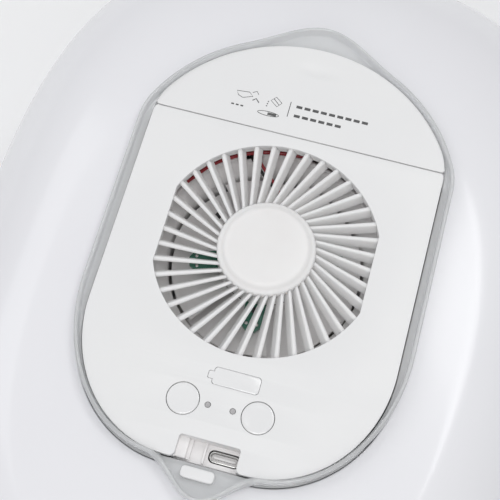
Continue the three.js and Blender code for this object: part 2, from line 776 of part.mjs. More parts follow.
function makeCradle() {
  const half = cellLength / 2 + 2.6;
  const zCell = faceHeight - cellDrop;
  const bed = trayInnerFloor + restGap;
  const side = cellRadius + slideGap;
  const outer = block(-half, half, cellY - side - cradleWall, cellY + side + cradleWall, bed, zCell);
  const inner = half - cradleWall;
  return outer
    .subtract(block(-inner, inner, cellY - side, cellY + side, zCell, zCell + 30))
    .subtract(alongX(side, 2 * inner, cellY, zCell, 28));
}

function makeContact(side) {
  const face = cellLength / 2 + 0.7;
  const [x0, x1] = side > 0 ? [face, face + 0.4] : [-face - 0.4, -face];
  const zCell = faceHeight - cellDrop;
  return block(x0, x1, cellY - 4, cellY + 4, zCell + 0.4 - 5, zCell + 4.5);
}

// ---------- Wick ----------
function makeWick() {
  return pipe(wickOuter, wickInner, wickBottom, trayBottom - restGap);
}

function makeWickCage() {
  const inner = wickOuter + slideGap;
  const outer = inner + cageWall;
  const top = trayBottom - restGap;
  let cage = join(pipe(outer + 2.4, inner, top - 2, top), pipe(outer, inner, top - 6, top));
  cage = cage.add(pipe(outer, inner, wickBottom, wickBottom + 6));
  for (let i = 0; i < cageRibs; i += 1) {
    const rib = new THREE.BoxGeometry(cageWall, 3, top - wickBottom);
    rib.translate(inner + cageWall / 2, 0, (top + wickBottom) / 2);
    rib.rotateZ((2 * Math.PI * (i + 0.5)) / cageRibs);
    cage = cage.add(solid(rib));
  }
  return cage.subtract(rod(inner, 0, faceHeight, 0, 0, 32));
}

// ---------- Fasteners and leads ----------
function makeScrewUp(x, y, headTop, tip) {
  return join(
    rod(screwHead, headTop - screwHeadHeight, headTop, x, y, 12),
    rod(screwShank, headTop - 0.1, tip, x, y, 8),
  );
}

function makeScrewDown(x, y, seat, tip) {
  return join(
    rod(screwHead, seat, seat + screwHeadHeight, x, y, 12),
    rod(screwShank, tip, seat + 0.1, x, y, 8),
  );
}

// From the left-hand contact forward along the tray's left wall, then under the control board.
function makeBlackLead() {
  const z = faceHeight - cellDrop + 5.6;
  return lead([
    [-cellLength / 2 - 0.9, cellY - 3, z], [11.3 - leadX, cellY - 9, z - 1],
    [2.3 - leadX, cellY - 12, z - 5],
    [-leadX, 28, boardBottom - 4], [-leadX, 0, boardBottom - 4], [-leadX, -32, boardBottom - 4],
    [3.8 - leadX, -40, boardBottom - 3.6], [-boardScrewX - 4, -44, boardBottom - 2.4],
    [3 - boardScrewX, -45, boardBottom - 1],
  ], leadRadius, 22);
}

// From the right-hand contact over the shroud's mouth to the left wall, then onto the control board.
function makeRedLead() {
  const over = shroudTop + leadRadius + 0.6;
  const ring = (degrees) => [...onCircle(shroudMouth + shroudWall / 2, degrees), over];
  return lead([
    [cellLength / 2 + 0.9, cellY - 3, faceHeight - cellDrop + 5.6],
    [cellLength / 2 + 2.2, cellY - 6.4, over], [cellLength / 2 - 2, seamY + 0.4, over],
    [14, seamY - 0.6, over], [4, seamY - 2.2, over],
    ring(100), ring(112), ring(124), ring(136), ring(150),
    [-shroudOuter - 0.6, 12, over - 0.2], [3 - leadX, 4, over - 1], [-leadX, -6, boardTop - 1],
    [-leadX, -32, boardTop - 1.4], [4 - leadX, -40, boardTop], [-boardHalfLength - 2, -42.5, boardTop + 1.4],
    [-boardHalfLength + 3, -43, boardTop + 1.1],
  ], leadRadius, 38);
}

// From the motor board's rear arm through the shroud's slot, round its outside and under the control board.
function makeMotorLead(shift) {
  const outside = shroudOuter + motorLeadRadius + 1.4 + (shift > 0 ? motorLeadSpacing : 0);
  const spread = THREE.MathUtils.radToDeg((shift * motorLeadSpacing) / 2 / shroudMouth);
  const place = (radius, degrees, z) => [...onCircle(radius, degrees - spread), z];
  const low = boardBottom - 0.9;
  return lead([
    place(motorBoardArm - 4, 94 - spread * 1.6, motorBoardTop + motorLeadRadius + 0.2),
    place(motorBoardArm, 98, motorBoardTop + 1.2),
    place(shroudMouth - 4.6, wireSlotAngle - 4, shroudTop - 1),
    place(shroudMouth - 0.6, wireSlotAngle - 0.6, shroudTop - 1.1),
    place(shroudOuter + 0.9, wireSlotAngle + 1, shroudTop - 1.4),
    ...[122, 140, 160, 180, 200].map((degrees) => place(outside, degrees, low)),
    place(outside + 1, 216, low - 0.4),
    [-26 - shift * motorLeadSpacing / 2, -36, low - 0.6], [-19 - shift * motorLeadSpacing / 2, -41, low],
  ], motorLeadRadius, 34);
}

// ---------- Assembly ----------
function paint(color, roughness, metalness = 0) {
  return new THREE.MeshStandardMaterial({ color, roughness, metalness });
}

const finishes = {
  shell: paint(0xe6e8ee, 0.25),
  clear: paint(0xdfe4ea, 0.1),
  white: paint(0xf0f0ee, 0.45),
  button: paint(0xe9ebee, 0.2),
  light: paint(0xd8d4d6, 0.3),
  rubber: paint(0xb9bcc2, 0.8),
  board: paint(0x1f6b4e, 0.5),
  black: paint(0x1c1c1f, 0.6),
  steel: paint(0x9aa0a6, 0.35, 1),
  copper: paint(0xb46f3c, 0.4, 1),
  red: paint(0x9a2430, 0.4),
  wick: paint(0xf3f1ea, 0.95),
};

const group = new THREE.Group();

function addPart(name, part, finish) {
  const result = part.getMesh();
  const geometry = new THREE.BufferGeometry();
  geometry.setAttribute('position', new THREE.Float32BufferAttribute(result.vertProperties, 3));
  geometry.setIndex(Array.from(result.triVerts));
  geometry.computeVertexNormals();
  const mesh = new THREE.Mesh(geometry, finishes[finish].clone());
  mesh.name = name;
  group.add(mesh);
}

addPart('tank_bowl', makeTankBowl(), 'shell');
addPart('tank_seal', makeTankSeal(), 'rubber');
addPart('tank_deck', makeTankDeck(), 'shell');
footSpots().forEach((spot, i) => addPart(`foot_${i + 1}`, makeFoot(spot), 'rubber'));
addPart('head_tray', makeHeadTray(), 'clear');
addPart('head_panel', makeHeadPanel(), 'white');
addPart('top_cover', makeTopCover(), 'white');
addPart('left_button', makeButton(-1), 'button');
addPart('right_button', makeButton(1), 'button');
addPart('left_light', makeLight(-1), 'light');
addPart('right_light', makeLight(1), 'light');
addPart('battery_window', makeBatteryWindow(), 'button');
addPart('control_board', makeControlBoard(), 'board');
addPart('left_switch', makeSwitch(-1), 'black');
addPart('right_switch', makeSwitch(1), 'black');
addPart('charge_socket', makeChargeSocket(), 'steel');
addPart('latch_tongue', makeLatchTongue(), 'white');
addPart('fan_shroud', makeShroud(), 'white');
addPart('motor_board', makeMotorBoard(), 'board');
addPart('motor_stator', makeStator(), 'copper');
addPart('upper_bearing', makeBearing(statorTop - 0.4 - bearingLength), 'steel');
addPart('lower_bearing', makeBearing(statorBottom + 0.2), 'steel');
addPart('motor_shaft', makeShaft(), 'steel');
addPart('magnet_ring', makeMagnetRing(), 'black');
addPart('impeller', makeImpeller(), 'white');
addPart('battery_cradle', makeCradle(), 'white');
addPart('battery_cell', makeCell(), 'red');
addPart('contact_plus', makeContact(1), 'steel');
addPart('contact_minus', makeContact(-1), 'steel');
addPart('battery_lead_red', makeRedLead(), 'red');
addPart('battery_lead_black', makeBlackLead(), 'black');
addPart('motor_lead_red', makeMotorLead(1), 'red');
addPart('motor_lead_black', makeMotorLead(-1), 'black');
addPart('wick_filter', makeWick(), 'wick');
addPart('wick_cage', makeWickCage(), 'white');
panelScrewSpots.forEach(([x, y], i) => {
  addPart(`panel_screw_${i + 1}`, makeScrewUp(x, y, trayBottom - restGap, trayInnerFloor + 8), 'steel');
});
boardScrewSpots.forEach(([x, y], i) => {
  addPart(`board_screw_${i + 1}`, makeScrewUp(x, y, boardBottom - restGap, boardTop + 4), 'steel');
});
shroudScrewAngles.forEach((angle, i) => {
  const [x, y] = onCircle(shroudScrewRadius, angle);
  const seat = trayInnerFloor + restGap + 1.6 + restGap;
  addPart(`shroud_screw_${i + 1}`, makeScrewDown(x, y, seat, trayInnerFloor + 0.3), 'steel');
});

export default group;
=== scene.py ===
import math

import bmesh
import bpy
import numpy as np
from mathutils import Matrix, Vector


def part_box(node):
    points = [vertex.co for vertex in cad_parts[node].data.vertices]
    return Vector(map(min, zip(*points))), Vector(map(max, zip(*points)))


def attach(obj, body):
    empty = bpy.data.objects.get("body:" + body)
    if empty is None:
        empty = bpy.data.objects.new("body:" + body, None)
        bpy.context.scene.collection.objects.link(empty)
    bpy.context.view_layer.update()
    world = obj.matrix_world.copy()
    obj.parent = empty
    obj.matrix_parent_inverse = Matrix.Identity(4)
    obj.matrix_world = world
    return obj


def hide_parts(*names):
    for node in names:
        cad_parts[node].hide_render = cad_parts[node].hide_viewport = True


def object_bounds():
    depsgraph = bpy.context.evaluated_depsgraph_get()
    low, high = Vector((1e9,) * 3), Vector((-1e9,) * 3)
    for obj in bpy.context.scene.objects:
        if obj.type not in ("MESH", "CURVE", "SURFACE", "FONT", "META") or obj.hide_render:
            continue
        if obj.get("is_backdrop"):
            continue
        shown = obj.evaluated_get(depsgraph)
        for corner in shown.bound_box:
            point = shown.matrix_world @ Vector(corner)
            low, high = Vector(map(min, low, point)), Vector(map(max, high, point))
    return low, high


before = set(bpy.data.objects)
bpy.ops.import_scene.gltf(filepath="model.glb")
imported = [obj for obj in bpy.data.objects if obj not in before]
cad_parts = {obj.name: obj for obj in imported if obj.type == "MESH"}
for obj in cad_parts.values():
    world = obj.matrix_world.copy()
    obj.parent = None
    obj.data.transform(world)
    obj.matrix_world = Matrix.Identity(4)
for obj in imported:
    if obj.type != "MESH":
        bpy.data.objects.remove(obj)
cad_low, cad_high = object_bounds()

# Everything below is in millimetres until a mesh is made, which turns it into metres.
MM = 0.001


def box_mm(node):
    low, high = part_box(node)
    return Vector(low) / MM, Vector(high) / MM


def centre(node):
    """The middle of a node's box in plan."""
    low, high = box_mm(node)
    return (low.x + high.x) / 2, (low.y + high.y) / 2


def bend(*degrees):
    """The sine and cosine of each angle in turn."""
    return [(math.sin(math.radians(a)), math.cos(math.radians(a))) for a in degrees]


# ---------- Levels and places, read from the CAD frame ----------
cover_low, cover_high = box_mm("top_cover")
panel_low, panel_high = box_mm("head_panel")
tray_low, tray_high = box_mm("head_tray")
deck_low, deck_high = box_mm("tank_deck")
bowl_low, bowl_high = box_mm("tank_bowl")
seal_low, seal_high = box_mm("tank_seal")
FACE = cover_high.z
HUB_TOP = panel_high.z
RIM_TOP = tray_high.z
TRAY_BOTTOM = tray_low.z
DECK_TOP = deck_high.z
HALF_X = deck_high.x
HALF_Y = deck_high.y
PANEL_HALF = panel_high.x
PANEL_FRONT = panel_low.y
SEAM_Y = cover_low.y - 0.35
TANK_WALL = 2.2
TANK_POWER = 2.8
CREASE_HALF = 64.5
CREASE_REAR = 74.0
CREASE_FRONT = 96.0
CREASE_CENTRE = -14.0
CREASE_POWER = 2.5
CREASE_SLOPE = 0.12
TOP_BULGE = 4.6
ARC_CENTRE = 19.5
ARC_BLEND = 20.0
RIM_WALL = 1.2
TRAY_WALL = 1.2
TRAY_GAP = 0.3
NECK_WALL = 1.6
NECK_DEPTH = 9.0
INTAKE_SLOTS = 9
INTAKE_PITCH = 7.5
GRILLE_RADIUS = 34.2
GRILLE_FLAT = 31.8
SLAT_COUNT = 40
SLAT_DEPTH = 3.1
SLAT_SKEW = 6.0
SLAT_LEAN = 1.3
SLAT_FIRST = 0.8
SLAT_INNER_WIDTH = 0.95
SLAT_OUTER_WIDTH = 1.6
HUB_RADIUS = 15.0
THROAT = 30.6
BLADE_COUNT = 7
BLADE_ROOT = 12.9
BLADE_TIP = 29.6
BLADE_HALF_SWEEP = 29
TEETH = 9
KEY_X = 11.1
LIGHT_X = 3.7
MOUTH = 34.6


# ---------- Outlines ----------
def arc(cx, cy, rx, ry, start, end, steps):
    angles = np.radians(np.linspace(start, end, steps + 1))
    return [(cx + rx * math.cos(a), cy + ry * math.sin(a)) for a in angles]


def head_outline(grow, half=PANEL_HALF, bulge=TOP_BULGE, front=PANEL_FRONT, corner=(12.0, -28.0)):
    """Straight sides, one large arc at the rear, elliptical corners at the front; anticlockwise."""
    width = half + grow
    radius = half + bulge + grow
    blend = ARC_BLEND + grow
    blend_x = width - blend
    blend_y = ARC_CENTRE + math.sqrt((radius - blend) ** 2 - blend_x**2)
    turn = math.degrees(math.atan2(blend_y - ARC_CENTRE, blend_x))
    wide = width - corner[0]
    deep = corner[1] - front + grow
    points = arc(corner[0], corner[1], wide, deep, -90, 0, 40)
    points += arc(blend_x, blend_y, blend, blend, 0, turn, 12)
    points += arc(0, ARC_CENTRE, radius, radius, turn, 180 - turn, 90)[1:-1]
    points += arc(-blend_x, blend_y, blend, blend, 180 - turn, 180, 12)
    points += arc(-corner[0], corner[1], wide, deep, 180, 270, 40)
    points += [(x, front - grow) for x in np.linspace(-corner[0], corner[0], 26)[1:-1]]
    return points


def swell(x, half):
    return (1 + math.cos(math.pi * min(abs(x) / half, 1))) / 2


def rim_outline(grow):
    """The rim follows the panel and swells into a finger tab at each end."""
    base = head_outline(grow, PANEL_HALF + 3.6, TOP_BULGE - 1.9, PANEL_FRONT - 1.1, (14.0, -22.0))
    points = []
    for x, y in base:
        if y > 0:
            points.append((x, y + 5.8 * swell(x, 25.0 + grow)))
        else:
            points.append((x, y - 9.8 * swell(x, 17.5 + grow)))
    return points


def grille_outline(grow):
    radius, flat = GRILLE_RADIUS + grow, GRILLE_FLAT + grow
    turn = math.degrees(math.acos(flat / radius))
    rear = arc(0, 0, radius, radius, turn, 180 - turn, 70)
    return rear + arc(0, 0, radius, radius, 180 + turn, 360 - turn, 70)


def rounded_box(x0, x1, y0, y1, radius, steps=6):
    return (
        arc(x1 - radius, y0 + radius, radius, radius, -90, 0, steps)
        + arc(x1 - radius, y1 - radius, radius, radius, 0, 90, steps)
        + arc(x0 + radius, y1 - radius, radius, radius, 90, 180, steps)
        + arc(x0 + radius, y0 + radius, radius, radius, 180, 270, steps)
    )


def circle(x, y, radius, steps=48):
    return arc(x, y, radius, radius, 0, 360, steps)[:-1]


def deck_outline(share, inset=0.0):
    """The deck between its crease (share 0) and the tank's widest line (share 1)."""
    t = np.linspace(0, 2 * np.pi, 1440, endpoint=False)
    c, s = np.cos(t), np.sin(t)
    def curve(half_x, rear, front, power, centre):
        x = half_x * np.sign(c) * np.abs(c) ** (2 / power)
        y = np.where(s > 0, rear, front) * np.sign(s) * np.abs(s) ** (2 / power)
        return x, y + centre
    cx, cy = curve(CREASE_HALF, CREASE_REAR, CREASE_FRONT, CREASE_POWER, CREASE_CENTRE)
    rx, ry = curve(HALF_X - inset, HALF_Y - inset, HALF_Y - inset, TANK_POWER, 0.0)
    return np.stack([cx + (rx - cx) * share, cy + (ry - cy) * share], 1)


def tank_outline(inset, inset_y=None):
    inset_y = inset if inset_y is None else inset_y
    t = np.linspace(0, 2 * np.pi, 1440, endpoint=False)
    a, b = HALF_X - inset, HALF_Y - inset_y
    r = (np.abs(np.cos(t) / a) ** TANK_POWER + np.abs(np.sin(t) / b) ** TANK_POWER) ** (-1 / TANK_POWER)
    return np.stack([r * np.cos(t), r * np.sin(t)], 1)


def ring_of(outline, z, count=480):
    """Where an outline that goes once round the fan's axis meets rays at equal angles, at height z."""
    points = np.array(outline)
    angle = np.arctan2(points[:, 1], points[:, 0]) % (2 * np.pi)
    order = np.argsort(angle)
    points, angle = points[order], angle[order]
    at = np.arange(count) * 2 * np.pi / count + 1e-6
    nxt = np.searchsorted(angle, at) % len(angle)
    a, b = points[nxt - 1], points[nxt]
    d = b - a
    ray = np.stack([np.cos(at), np.sin(at)], 1)
    r = (a[:, 0] * d[:, 1] - a[:, 1] * d[:, 0]) / (ray[:, 0] * d[:, 1] - ray[:, 1] * d[:, 0])
    return [(r[i] * ray[i, 0], r[i] * ray[i, 1], z) for i in range(count)]


def head_ring(grow, z):
    return ring_of(head_outline(grow), z)


def rim_ring(grow, z):
    return ring_of(rim_outline(grow), z)


def tank_ring(inset, z):
    return ring_of(tank_outline(inset), z)


def between(near, far, shares):
    """Rings on straight lines from one ring to another, at the given shares of the way."""
    near, far = np.array(near), np.array(far)
    return [[tuple(p) for p in near + (far - near) * t] for t in shares]


# ---------- Mesh making ----------
def finish_mesh(mesh, sharp=35):
    bm = bmesh.new()
    bm.from_mesh(mesh)
    bmesh.ops.remove_doubles(bm, verts=bm.verts, dist=0.002 * MM)
    bmesh.ops.recalc_face_normals(bm, faces=bm.faces)
    bm.to_mesh(mesh)
    bm.free()
    mesh.shade_smooth()
    mesh.set_sharp_from_angle(angle=math.radians(sharp))
    return mesh


def mesh_from(vertices, faces, sharp=35):
    mesh = bpy.data.meshes.new("mesh")
    mesh.from_pydata([(x * MM, y * MM, z * MM) for x, y, z in vertices], [], faces)
    return finish_mesh(mesh, sharp)


def skinned(rings, closed=False, sharp=35):
    """Rings of equal length skinned one to the next. closed joins the last to the first."""
    count = len(rings[0])
    vertices = [p for ring in rings for p in ring]
    faces = []
    for r in range(len(rings) if closed else len(rings) - 1):
        a, b = r * count, ((r + 1) % len(rings)) * count
        for i in range(count):
            j = (i + 1) % count
            faces.append((a + i, a + j, b + j, b + i))
    if not closed:
        for start in (0, (len(rings) - 1) * count):
            middle = len(vertices)
            ring = vertices[start : start + count]
            vertices.append(tuple(sum(p[k] for p in ring) / count for k in range(3)))
            faces += [(start + i, start + (i + 1) % count, middle) for i in range(count)]
    return mesh_from(vertices, faces, sharp)


def turned(profile, steps=72, x=0.0, y=0.0, sharp=35):
    """A profile of (radius, z) turned about a vertical axis. It ends on the axis at both ends, or closes."""
    on_axis = profile[0][0] == 0
    inner = profile[1:-1] if on_axis else profile
    rings = [[(x + a, y + b, z) for a, b in circle(0, 0, r, steps)] for r, z in inner]
    if not on_axis:
        return skinned(rings, closed=True, sharp=sharp)
    rings = [[(x + a, y + b, profile[0][1]) for a, b in circle(0, 0, inner[0][0] * 0.5, steps)]] + rings
    rings.append([(x + a, y + b, profile[-1][1]) for a, b in circle(0, 0, inner[-1][0] * 0.5, steps)])
    return skinned(rings, sharp=sharp)


def pin(radius, z0, z1, steps, x=0.0, y=0.0):
    return turned([(0, z0), (radius, z0), (radius, z1), (0, z1)], steps, x, y)


def evaluated(mesh, *settings):
    """The mesh after the given modifiers, each a (type, {property: value})."""
    holder = bpy.data.objects.new("holder", mesh)
    bpy.context.scene.collection.objects.link(holder)
    for kind, values in settings:
        modifier = holder.modifiers.new(kind.lower(), kind)
        for key, value in values.items():
            setattr(modifier, key, value)
    bpy.context.view_layer.update()
    result = bpy.data.meshes.new_from_object(holder.evaluated_get(bpy.context.evaluated_depsgraph_get()))
    bpy.data.objects.remove(holder)
    return result


def cut(mesh, *cutters, sharp=35):
    """The mesh less the cutters."""
    for cutter in cutters:
        tool = bpy.data.objects.new("tool", cutter)
        bpy.context.scene.collection.objects.link(tool)
        mesh = evaluated(mesh, ("BOOLEAN", {"object": tool, "operation": "DIFFERENCE", "solver": "EXACT"}))
        bpy.data.objects.remove(tool)
    return finish_mesh(mesh, sharp)


def joined(*meshes):
    """Several meshes as one, side by side."""
    bm = bmesh.new()
    for mesh in meshes:
        bm.from_mesh(mesh)
    result = bpy.data.meshes.new("joined")
    bm.to_mesh(result)
    bm.free()
    result.shade_smooth()
    result.set_sharp_from_angle(angle=math.radians(35))
    return result


def moved(mesh, x=0.0, y=0.0, turn=0.0):
    """A copy turned about the vertical axis through the origin, then moved."""
    mesh = mesh.copy()
    turning = Matrix.Rotation(math.radians(turn), 4, "Z")
    mesh.transform(Matrix.Translation((x * MM, y * MM, 0)) @ turning)
    return mesh


def plate(outline, z0, z1, bevel=0.3, holes=(), sharp=35):
    """A flat plate with rounded edges, its holes rounded too."""
    curve = bpy.data.curves.new("plate", "CURVE")
    curve.dimensions = "2D"
    curve.fill_mode = "BOTH"
    curve.extrude = ((z1 - z0) / 2 - bevel) * MM
    curve.bevel_depth = bevel * MM
    curve.bevel_resolution = 2
    curve.offset = -bevel * MM
    for points in (outline, *holes):
        spline = curve.splines.new("POLY")
        spline.points.add(len(points) - 1)
        for point, (x, y) in zip(spline.points, points):
            point.co = (x * MM, y * MM, 0, 1)
        spline.use_cyclic_u = True
    holder = bpy.data.objects.new("plate", curve)
    bpy.context.scene.collection.objects.link(holder)
    bpy.context.view_layer.update()
    mesh = bpy.data.meshes.new_from_object(holder.evaluated_get(bpy.context.evaluated_depsgraph_get()))
    bpy.data.objects.remove(holder)
    mesh.transform(Matrix.Translation((0, 0, (z0 + z1) / 2 * MM)))
    return finish_mesh(mesh, sharp)


def slab(x0, x1, y0, y1, z0, z1, bevel=0.25, corner=None):
    return plate(rounded_box(x0, x1, y0, y1, corner or max(bevel * 1.5, 0.2)), z0, z1, bevel)


def smooth_path(points, steps=12):
    """A Catmull-Rom curve through the points."""
    p = [Vector(q) for q in points]
    p = [p[0] * 2 - p[1]] + p + [p[-1] * 2 - p[-2]]
    out = []
    for i in range(1, len(p) - 2):
        for k in range(steps):
            t = k / steps
            a = p[i] * 2 + (p[i + 1] - p[i - 1]) * t
            b = (p[i - 1] * 2 - p[i] * 5 + p[i + 1] * 4 - p[i + 2]) * t**2
            c = (p[i] * 3 - p[i - 1] - p[i + 1] * 3 + p[i + 2]) * t**3
            out.append((a + b + c) / 2)
    return out + [p[-2]]


def tube(points, radius, sides=12):
    """A round wire along the points."""
    rings = []
    side = None
    for i, point in enumerate(points):
        ahead = points[min(i + 1, len(points) - 1)] - points[max(i - 1, 0)]
        ahead.normalize()
        if side is None:
            side = ahead.orthogonal().normalized()
        side = (side - ahead * side.dot(ahead)).normalized()
        other = ahead.cross(side)
        ring = []
        for k in range(sides):
            a = 2 * math.pi * k / sides
            ring.append(tuple(point + (side * math.cos(a) + other * math.sin(a)) * radius))
        rings.append(ring)
    return skinned(rings)


# ---------- Materials ----------
def material(name, color, other, rough=0.45, scale=60.0, detail=4.0, fine=900.0, bump=0.1, reach=0.05,
             rough_spread=0.08, **sockets):
    """Colour that drifts between two near shades, roughness that drifts with it and a fine surface grain.
    scale and fine are features per metre; reach is the grain's height in millimetres."""
    m = bpy.data.materials.new(name)
    m.use_nodes = True
    nodes, links = m.node_tree.nodes, m.node_tree.links
    shader = nodes["Principled BSDF"]
    where = nodes.new("ShaderNodeTexCoord")
    broad = nodes.new("ShaderNodeTexNoise")
    broad.inputs["Scale"].default_value = scale
    broad.inputs["Detail"].default_value = detail
    ramp = nodes.new("ShaderNodeValToRGB")
    ramp.color_ramp.elements[0].position = 0.35
    ramp.color_ramp.elements[1].position = 0.65
    ramp.color_ramp.elements[0].color = (*color, 1)
    ramp.color_ramp.elements[1].color = (*other, 1)
    spread = nodes.new("ShaderNodeMapRange")
    spread.inputs["To Min"].default_value = rough - rough_spread / 2
    spread.inputs["To Max"].default_value = rough + rough_spread / 2
    grain = nodes.new("ShaderNodeTexNoise")
    grain.inputs["Scale"].default_value = fine
    grain.inputs["Detail"].default_value = 3
    height = nodes.new("ShaderNodeBump")
    height.inputs["Strength"].default_value = bump
    height.inputs["Distance"].default_value = reach * MM
    links.new(where.outputs["Object"], broad.inputs["Vector"])
    links.new(where.outputs["Object"], grain.inputs["Vector"])
    links.new(broad.outputs["Fac"], ramp.inputs["Fac"])
    links.new(ramp.outputs["Color"], shader.inputs["Base Color"])
    links.new(broad.outputs["Fac"], spread.inputs["Value"])
    links.new(spread.outputs["Result"], shader.inputs["Roughness"])
    links.new(grain.outputs["Fac"], height.inputs["Height"])
    links.new(height.outputs["Normal"], shader.inputs["Normal"])
    for key, value in sockets.items():
        shader.inputs[key.replace("_", " ")].default_value = value
    return m


def grey(v, tint=(1.0, 1.0, 1.0)):
    return tuple(v * t for t in tint)


SHELL = material("milky_shell", grey(0.93, (0.985, 0.985, 1.01)), grey(0.91, (0.99, 0.985, 1.015)), 0.2,
                 scale=14, fine=240, bump=0.06, reach=0.1, rough_spread=0.08, Transmission_Weight=0.06,
                 IOR=1.49, Coat_Weight=0.15, Coat_Roughness=0.06)
CLEAR = material("clear_polycarbonate", (0.95, 0.96, 0.965), (0.93, 0.94, 0.95), 0.05, scale=30, fine=300,
                 bump=0.04, reach=0.05, rough_spread=0.04, Transmission_Weight=0.45, IOR=1.47)
WHITE = material("white_abs", grey(0.84, (1, 1, 0.995)), grey(0.825, (1, 1, 1)), 0.42, scale=35, fine=2600,
                 bump=0.12, reach=0.02, rough_spread=0.1, Coat_Weight=0.08, Coat_Roughness=0.3)
SLATS = material("white_abs_slats", grey(0.87, (1, 0.99, 0.98)), grey(0.85, (1, 0.985, 0.975)), 0.38,
                 scale=80, fine=2600, bump=0.1, reach=0.02, Subsurface_Weight=0.9, Subsurface_Scale=2.5 * MM,
                 Subsurface_Radius=(1.0, 0.98, 0.96))
INNER = material("white_inner_abs", grey(0.94, (1, 0.985, 0.98)), grey(0.91, (1, 0.98, 0.975)), 0.5,
                 scale=60, fine=1800, bump=0.15, reach=0.03)
KEYS = material("milky_clear_key", grey(0.93), grey(0.90), 0.16, scale=90, fine=900, bump=0.05, reach=0.03,
                Transmission_Weight=0.08, IOR=1.49, Coat_Weight=0.5, Coat_Roughness=0.05)
PIPES = material("frosted_light_pipe", grey(0.58, (1, 0.98, 0.99)), grey(0.52, (1, 0.98, 0.99)), 0.35,
                 scale=500, fine=3000, bump=0.2, reach=0.02, Transmission_Weight=0.2)
RUBBER = material("pale_silicone", grey(0.52, (0.98, 0.99, 1.02)), grey(0.46, (0.98, 0.99, 1.02)), 0.75,
                  scale=120, fine=1500, bump=0.3, reach=0.05)
BOARD = material("green_solder_mask", (0.012, 0.115, 0.07), (0.02, 0.15, 0.095), 0.35, scale=420, fine=1200,
                 bump=0.25, reach=0.04, detail=8, Coat_Weight=0.3, Coat_Roughness=0.15)
DARK = material("black_moulding", grey(0.022), grey(0.04), 0.5, scale=300, fine=2200, bump=0.25, reach=0.03)
STEEL = material("nickel_steel", grey(0.55, (1, 0.99, 0.97)), grey(0.48, (1, 0.99, 0.98)), 0.28, scale=200,
                 fine=2400, bump=0.15, reach=0.02, Metallic=1.0)
COPPER = material("enamelled_copper", (0.55, 0.23, 0.09), (0.42, 0.16, 0.06), 0.3, scale=700, fine=3000,
                  bump=0.2, reach=0.03, Metallic=1.0, Coat_Weight=0.4)
RED = material("red_insulation", (0.42, 0.025, 0.035), (0.34, 0.018, 0.026), 0.32, scale=160, fine=1400,
               bump=0.15, reach=0.03, Coat_Weight=0.3)
WIRE = material("black_insulation", grey(0.02), grey(0.032), 0.4, scale=160, fine=1400, bump=0.15,
                reach=0.03)
FIBRE = material("wick_fibre", (0.90, 0.885, 0.85), (0.82, 0.80, 0.76), 0.95, scale=260, fine=1700, bump=0.9,
                 reach=0.5, detail=8, Sheen_Weight=0.3)
INK = material("grey_print", grey(0.075), grey(0.11), 0.5, scale=900, fine=2600, bump=0.2, reach=0.01)


def piece(name, mesh, body, slot, finish, *nodes):
    if not mesh.polygons:
        raise ValueError(name + " has no faces")
    o = bpy.data.objects.new(name, mesh)
    bpy.context.scene.collection.objects.link(o)
    mesh.name = name
    mesh.materials.clear()
    mesh.materials.append(finish)
    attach(o, body)
    if nodes:
        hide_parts(*nodes)
    return o


# ---------- Tank ----------
SPLIT = (seal_low.z + seal_high.z) / 2
BOWL_TOP = bowl_high.z
BOWL_FLOOR = bowl_low.z


def make_deck():
    bottom = deck_low.z + 6.8 if deck_low.z < SPLIT - 2 else deck_low.z
    opening = TRAY_GAP + TRAY_WALL + 0.5
    neck_bottom = DECK_TOP - NECK_DEPTH
    rings = [head_ring(opening, z) for z in np.linspace(neck_bottom + 0.4, DECK_TOP - 0.5, 8)]
    for a in (30, 60, 90):
        grow = opening + 0.5 * (1 - math.cos(math.radians(a)))
        rings.append(head_ring(grow, DECK_TOP - 0.5 + 0.5 * math.sin(math.radians(a))))
    rings += between(rings[-1], ring_of(deck_outline(-0.1), DECK_TOP), (0.15, 0.35, 0.6, 0.85))

    def level(share, top):
        soft = (share + math.sqrt(share * share + 0.03**2)) / 2
        s = min(max(share, 0.0), 1.0)
        return top - (top - bottom) * (CREASE_SLOPE * soft + (1 - CREASE_SLOPE) * (1 - math.sqrt(1 - s * s)))

    shares = list(np.linspace(-0.1, 0.1, 17)) + list(np.sin(np.radians(np.linspace(8, 90, 42))))
    for share in shares:
        rings.append(ring_of(deck_outline(share), min(level(share, DECK_TOP), DECK_TOP)))
    lip_inset = TANK_WALL + 0.4
    lip_bottom = deck_low.z
    rings += [tank_ring(0.4, bottom), tank_ring(lip_inset, bottom)]
    for inward, z in ((0, lip_bottom + 0.4), (0.4, lip_bottom), (1.2, lip_bottom), (1.6, lip_bottom + 0.4),
                      (1.6, bottom + 3)):
        rings.append(tank_ring(lip_inset + inward, z))
    for share in reversed(shares):
        z = level(share, DECK_TOP - TANK_WALL)
        if z > bottom + 3.4:
            rings.append(ring_of(deck_outline(share, TANK_WALL), min(z, DECK_TOP - TANK_WALL)))
    outside = head_ring(opening + NECK_WALL, DECK_TOP - TANK_WALL)
    rings += between(rings[-1], outside, (0.3, 0.65))
    rings.append(outside)
    rings.append(head_ring(opening + NECK_WALL, neck_bottom + 0.4))
    rings.append(head_ring(opening + NECK_WALL - 0.4, neck_bottom))
    rings.append(head_ring(opening + 0.4, neck_bottom))
    deck = skinned(rings, closed=True, sharp=50)
    cutters = []
    for i in range(INTAKE_SLOTS):
        x = (i - (INTAKE_SLOTS - 1) / 2) * INTAKE_PITCH
        outline = [(x + a, FACE - 29.5 + b) for a, b in rounded_box(-1.5, 1.5, -6.5, 6.5, 1.45)]
        slot_mesh = plate(outline, -HALF_Y, -HALF_Y * 0.7, 0.01)
        slot_mesh.transform(Matrix.Rotation(math.radians(90), 4, "X"))
        cutters.append(slot_mesh)
    return cut(deck, joined(*cutters), sharp=50)


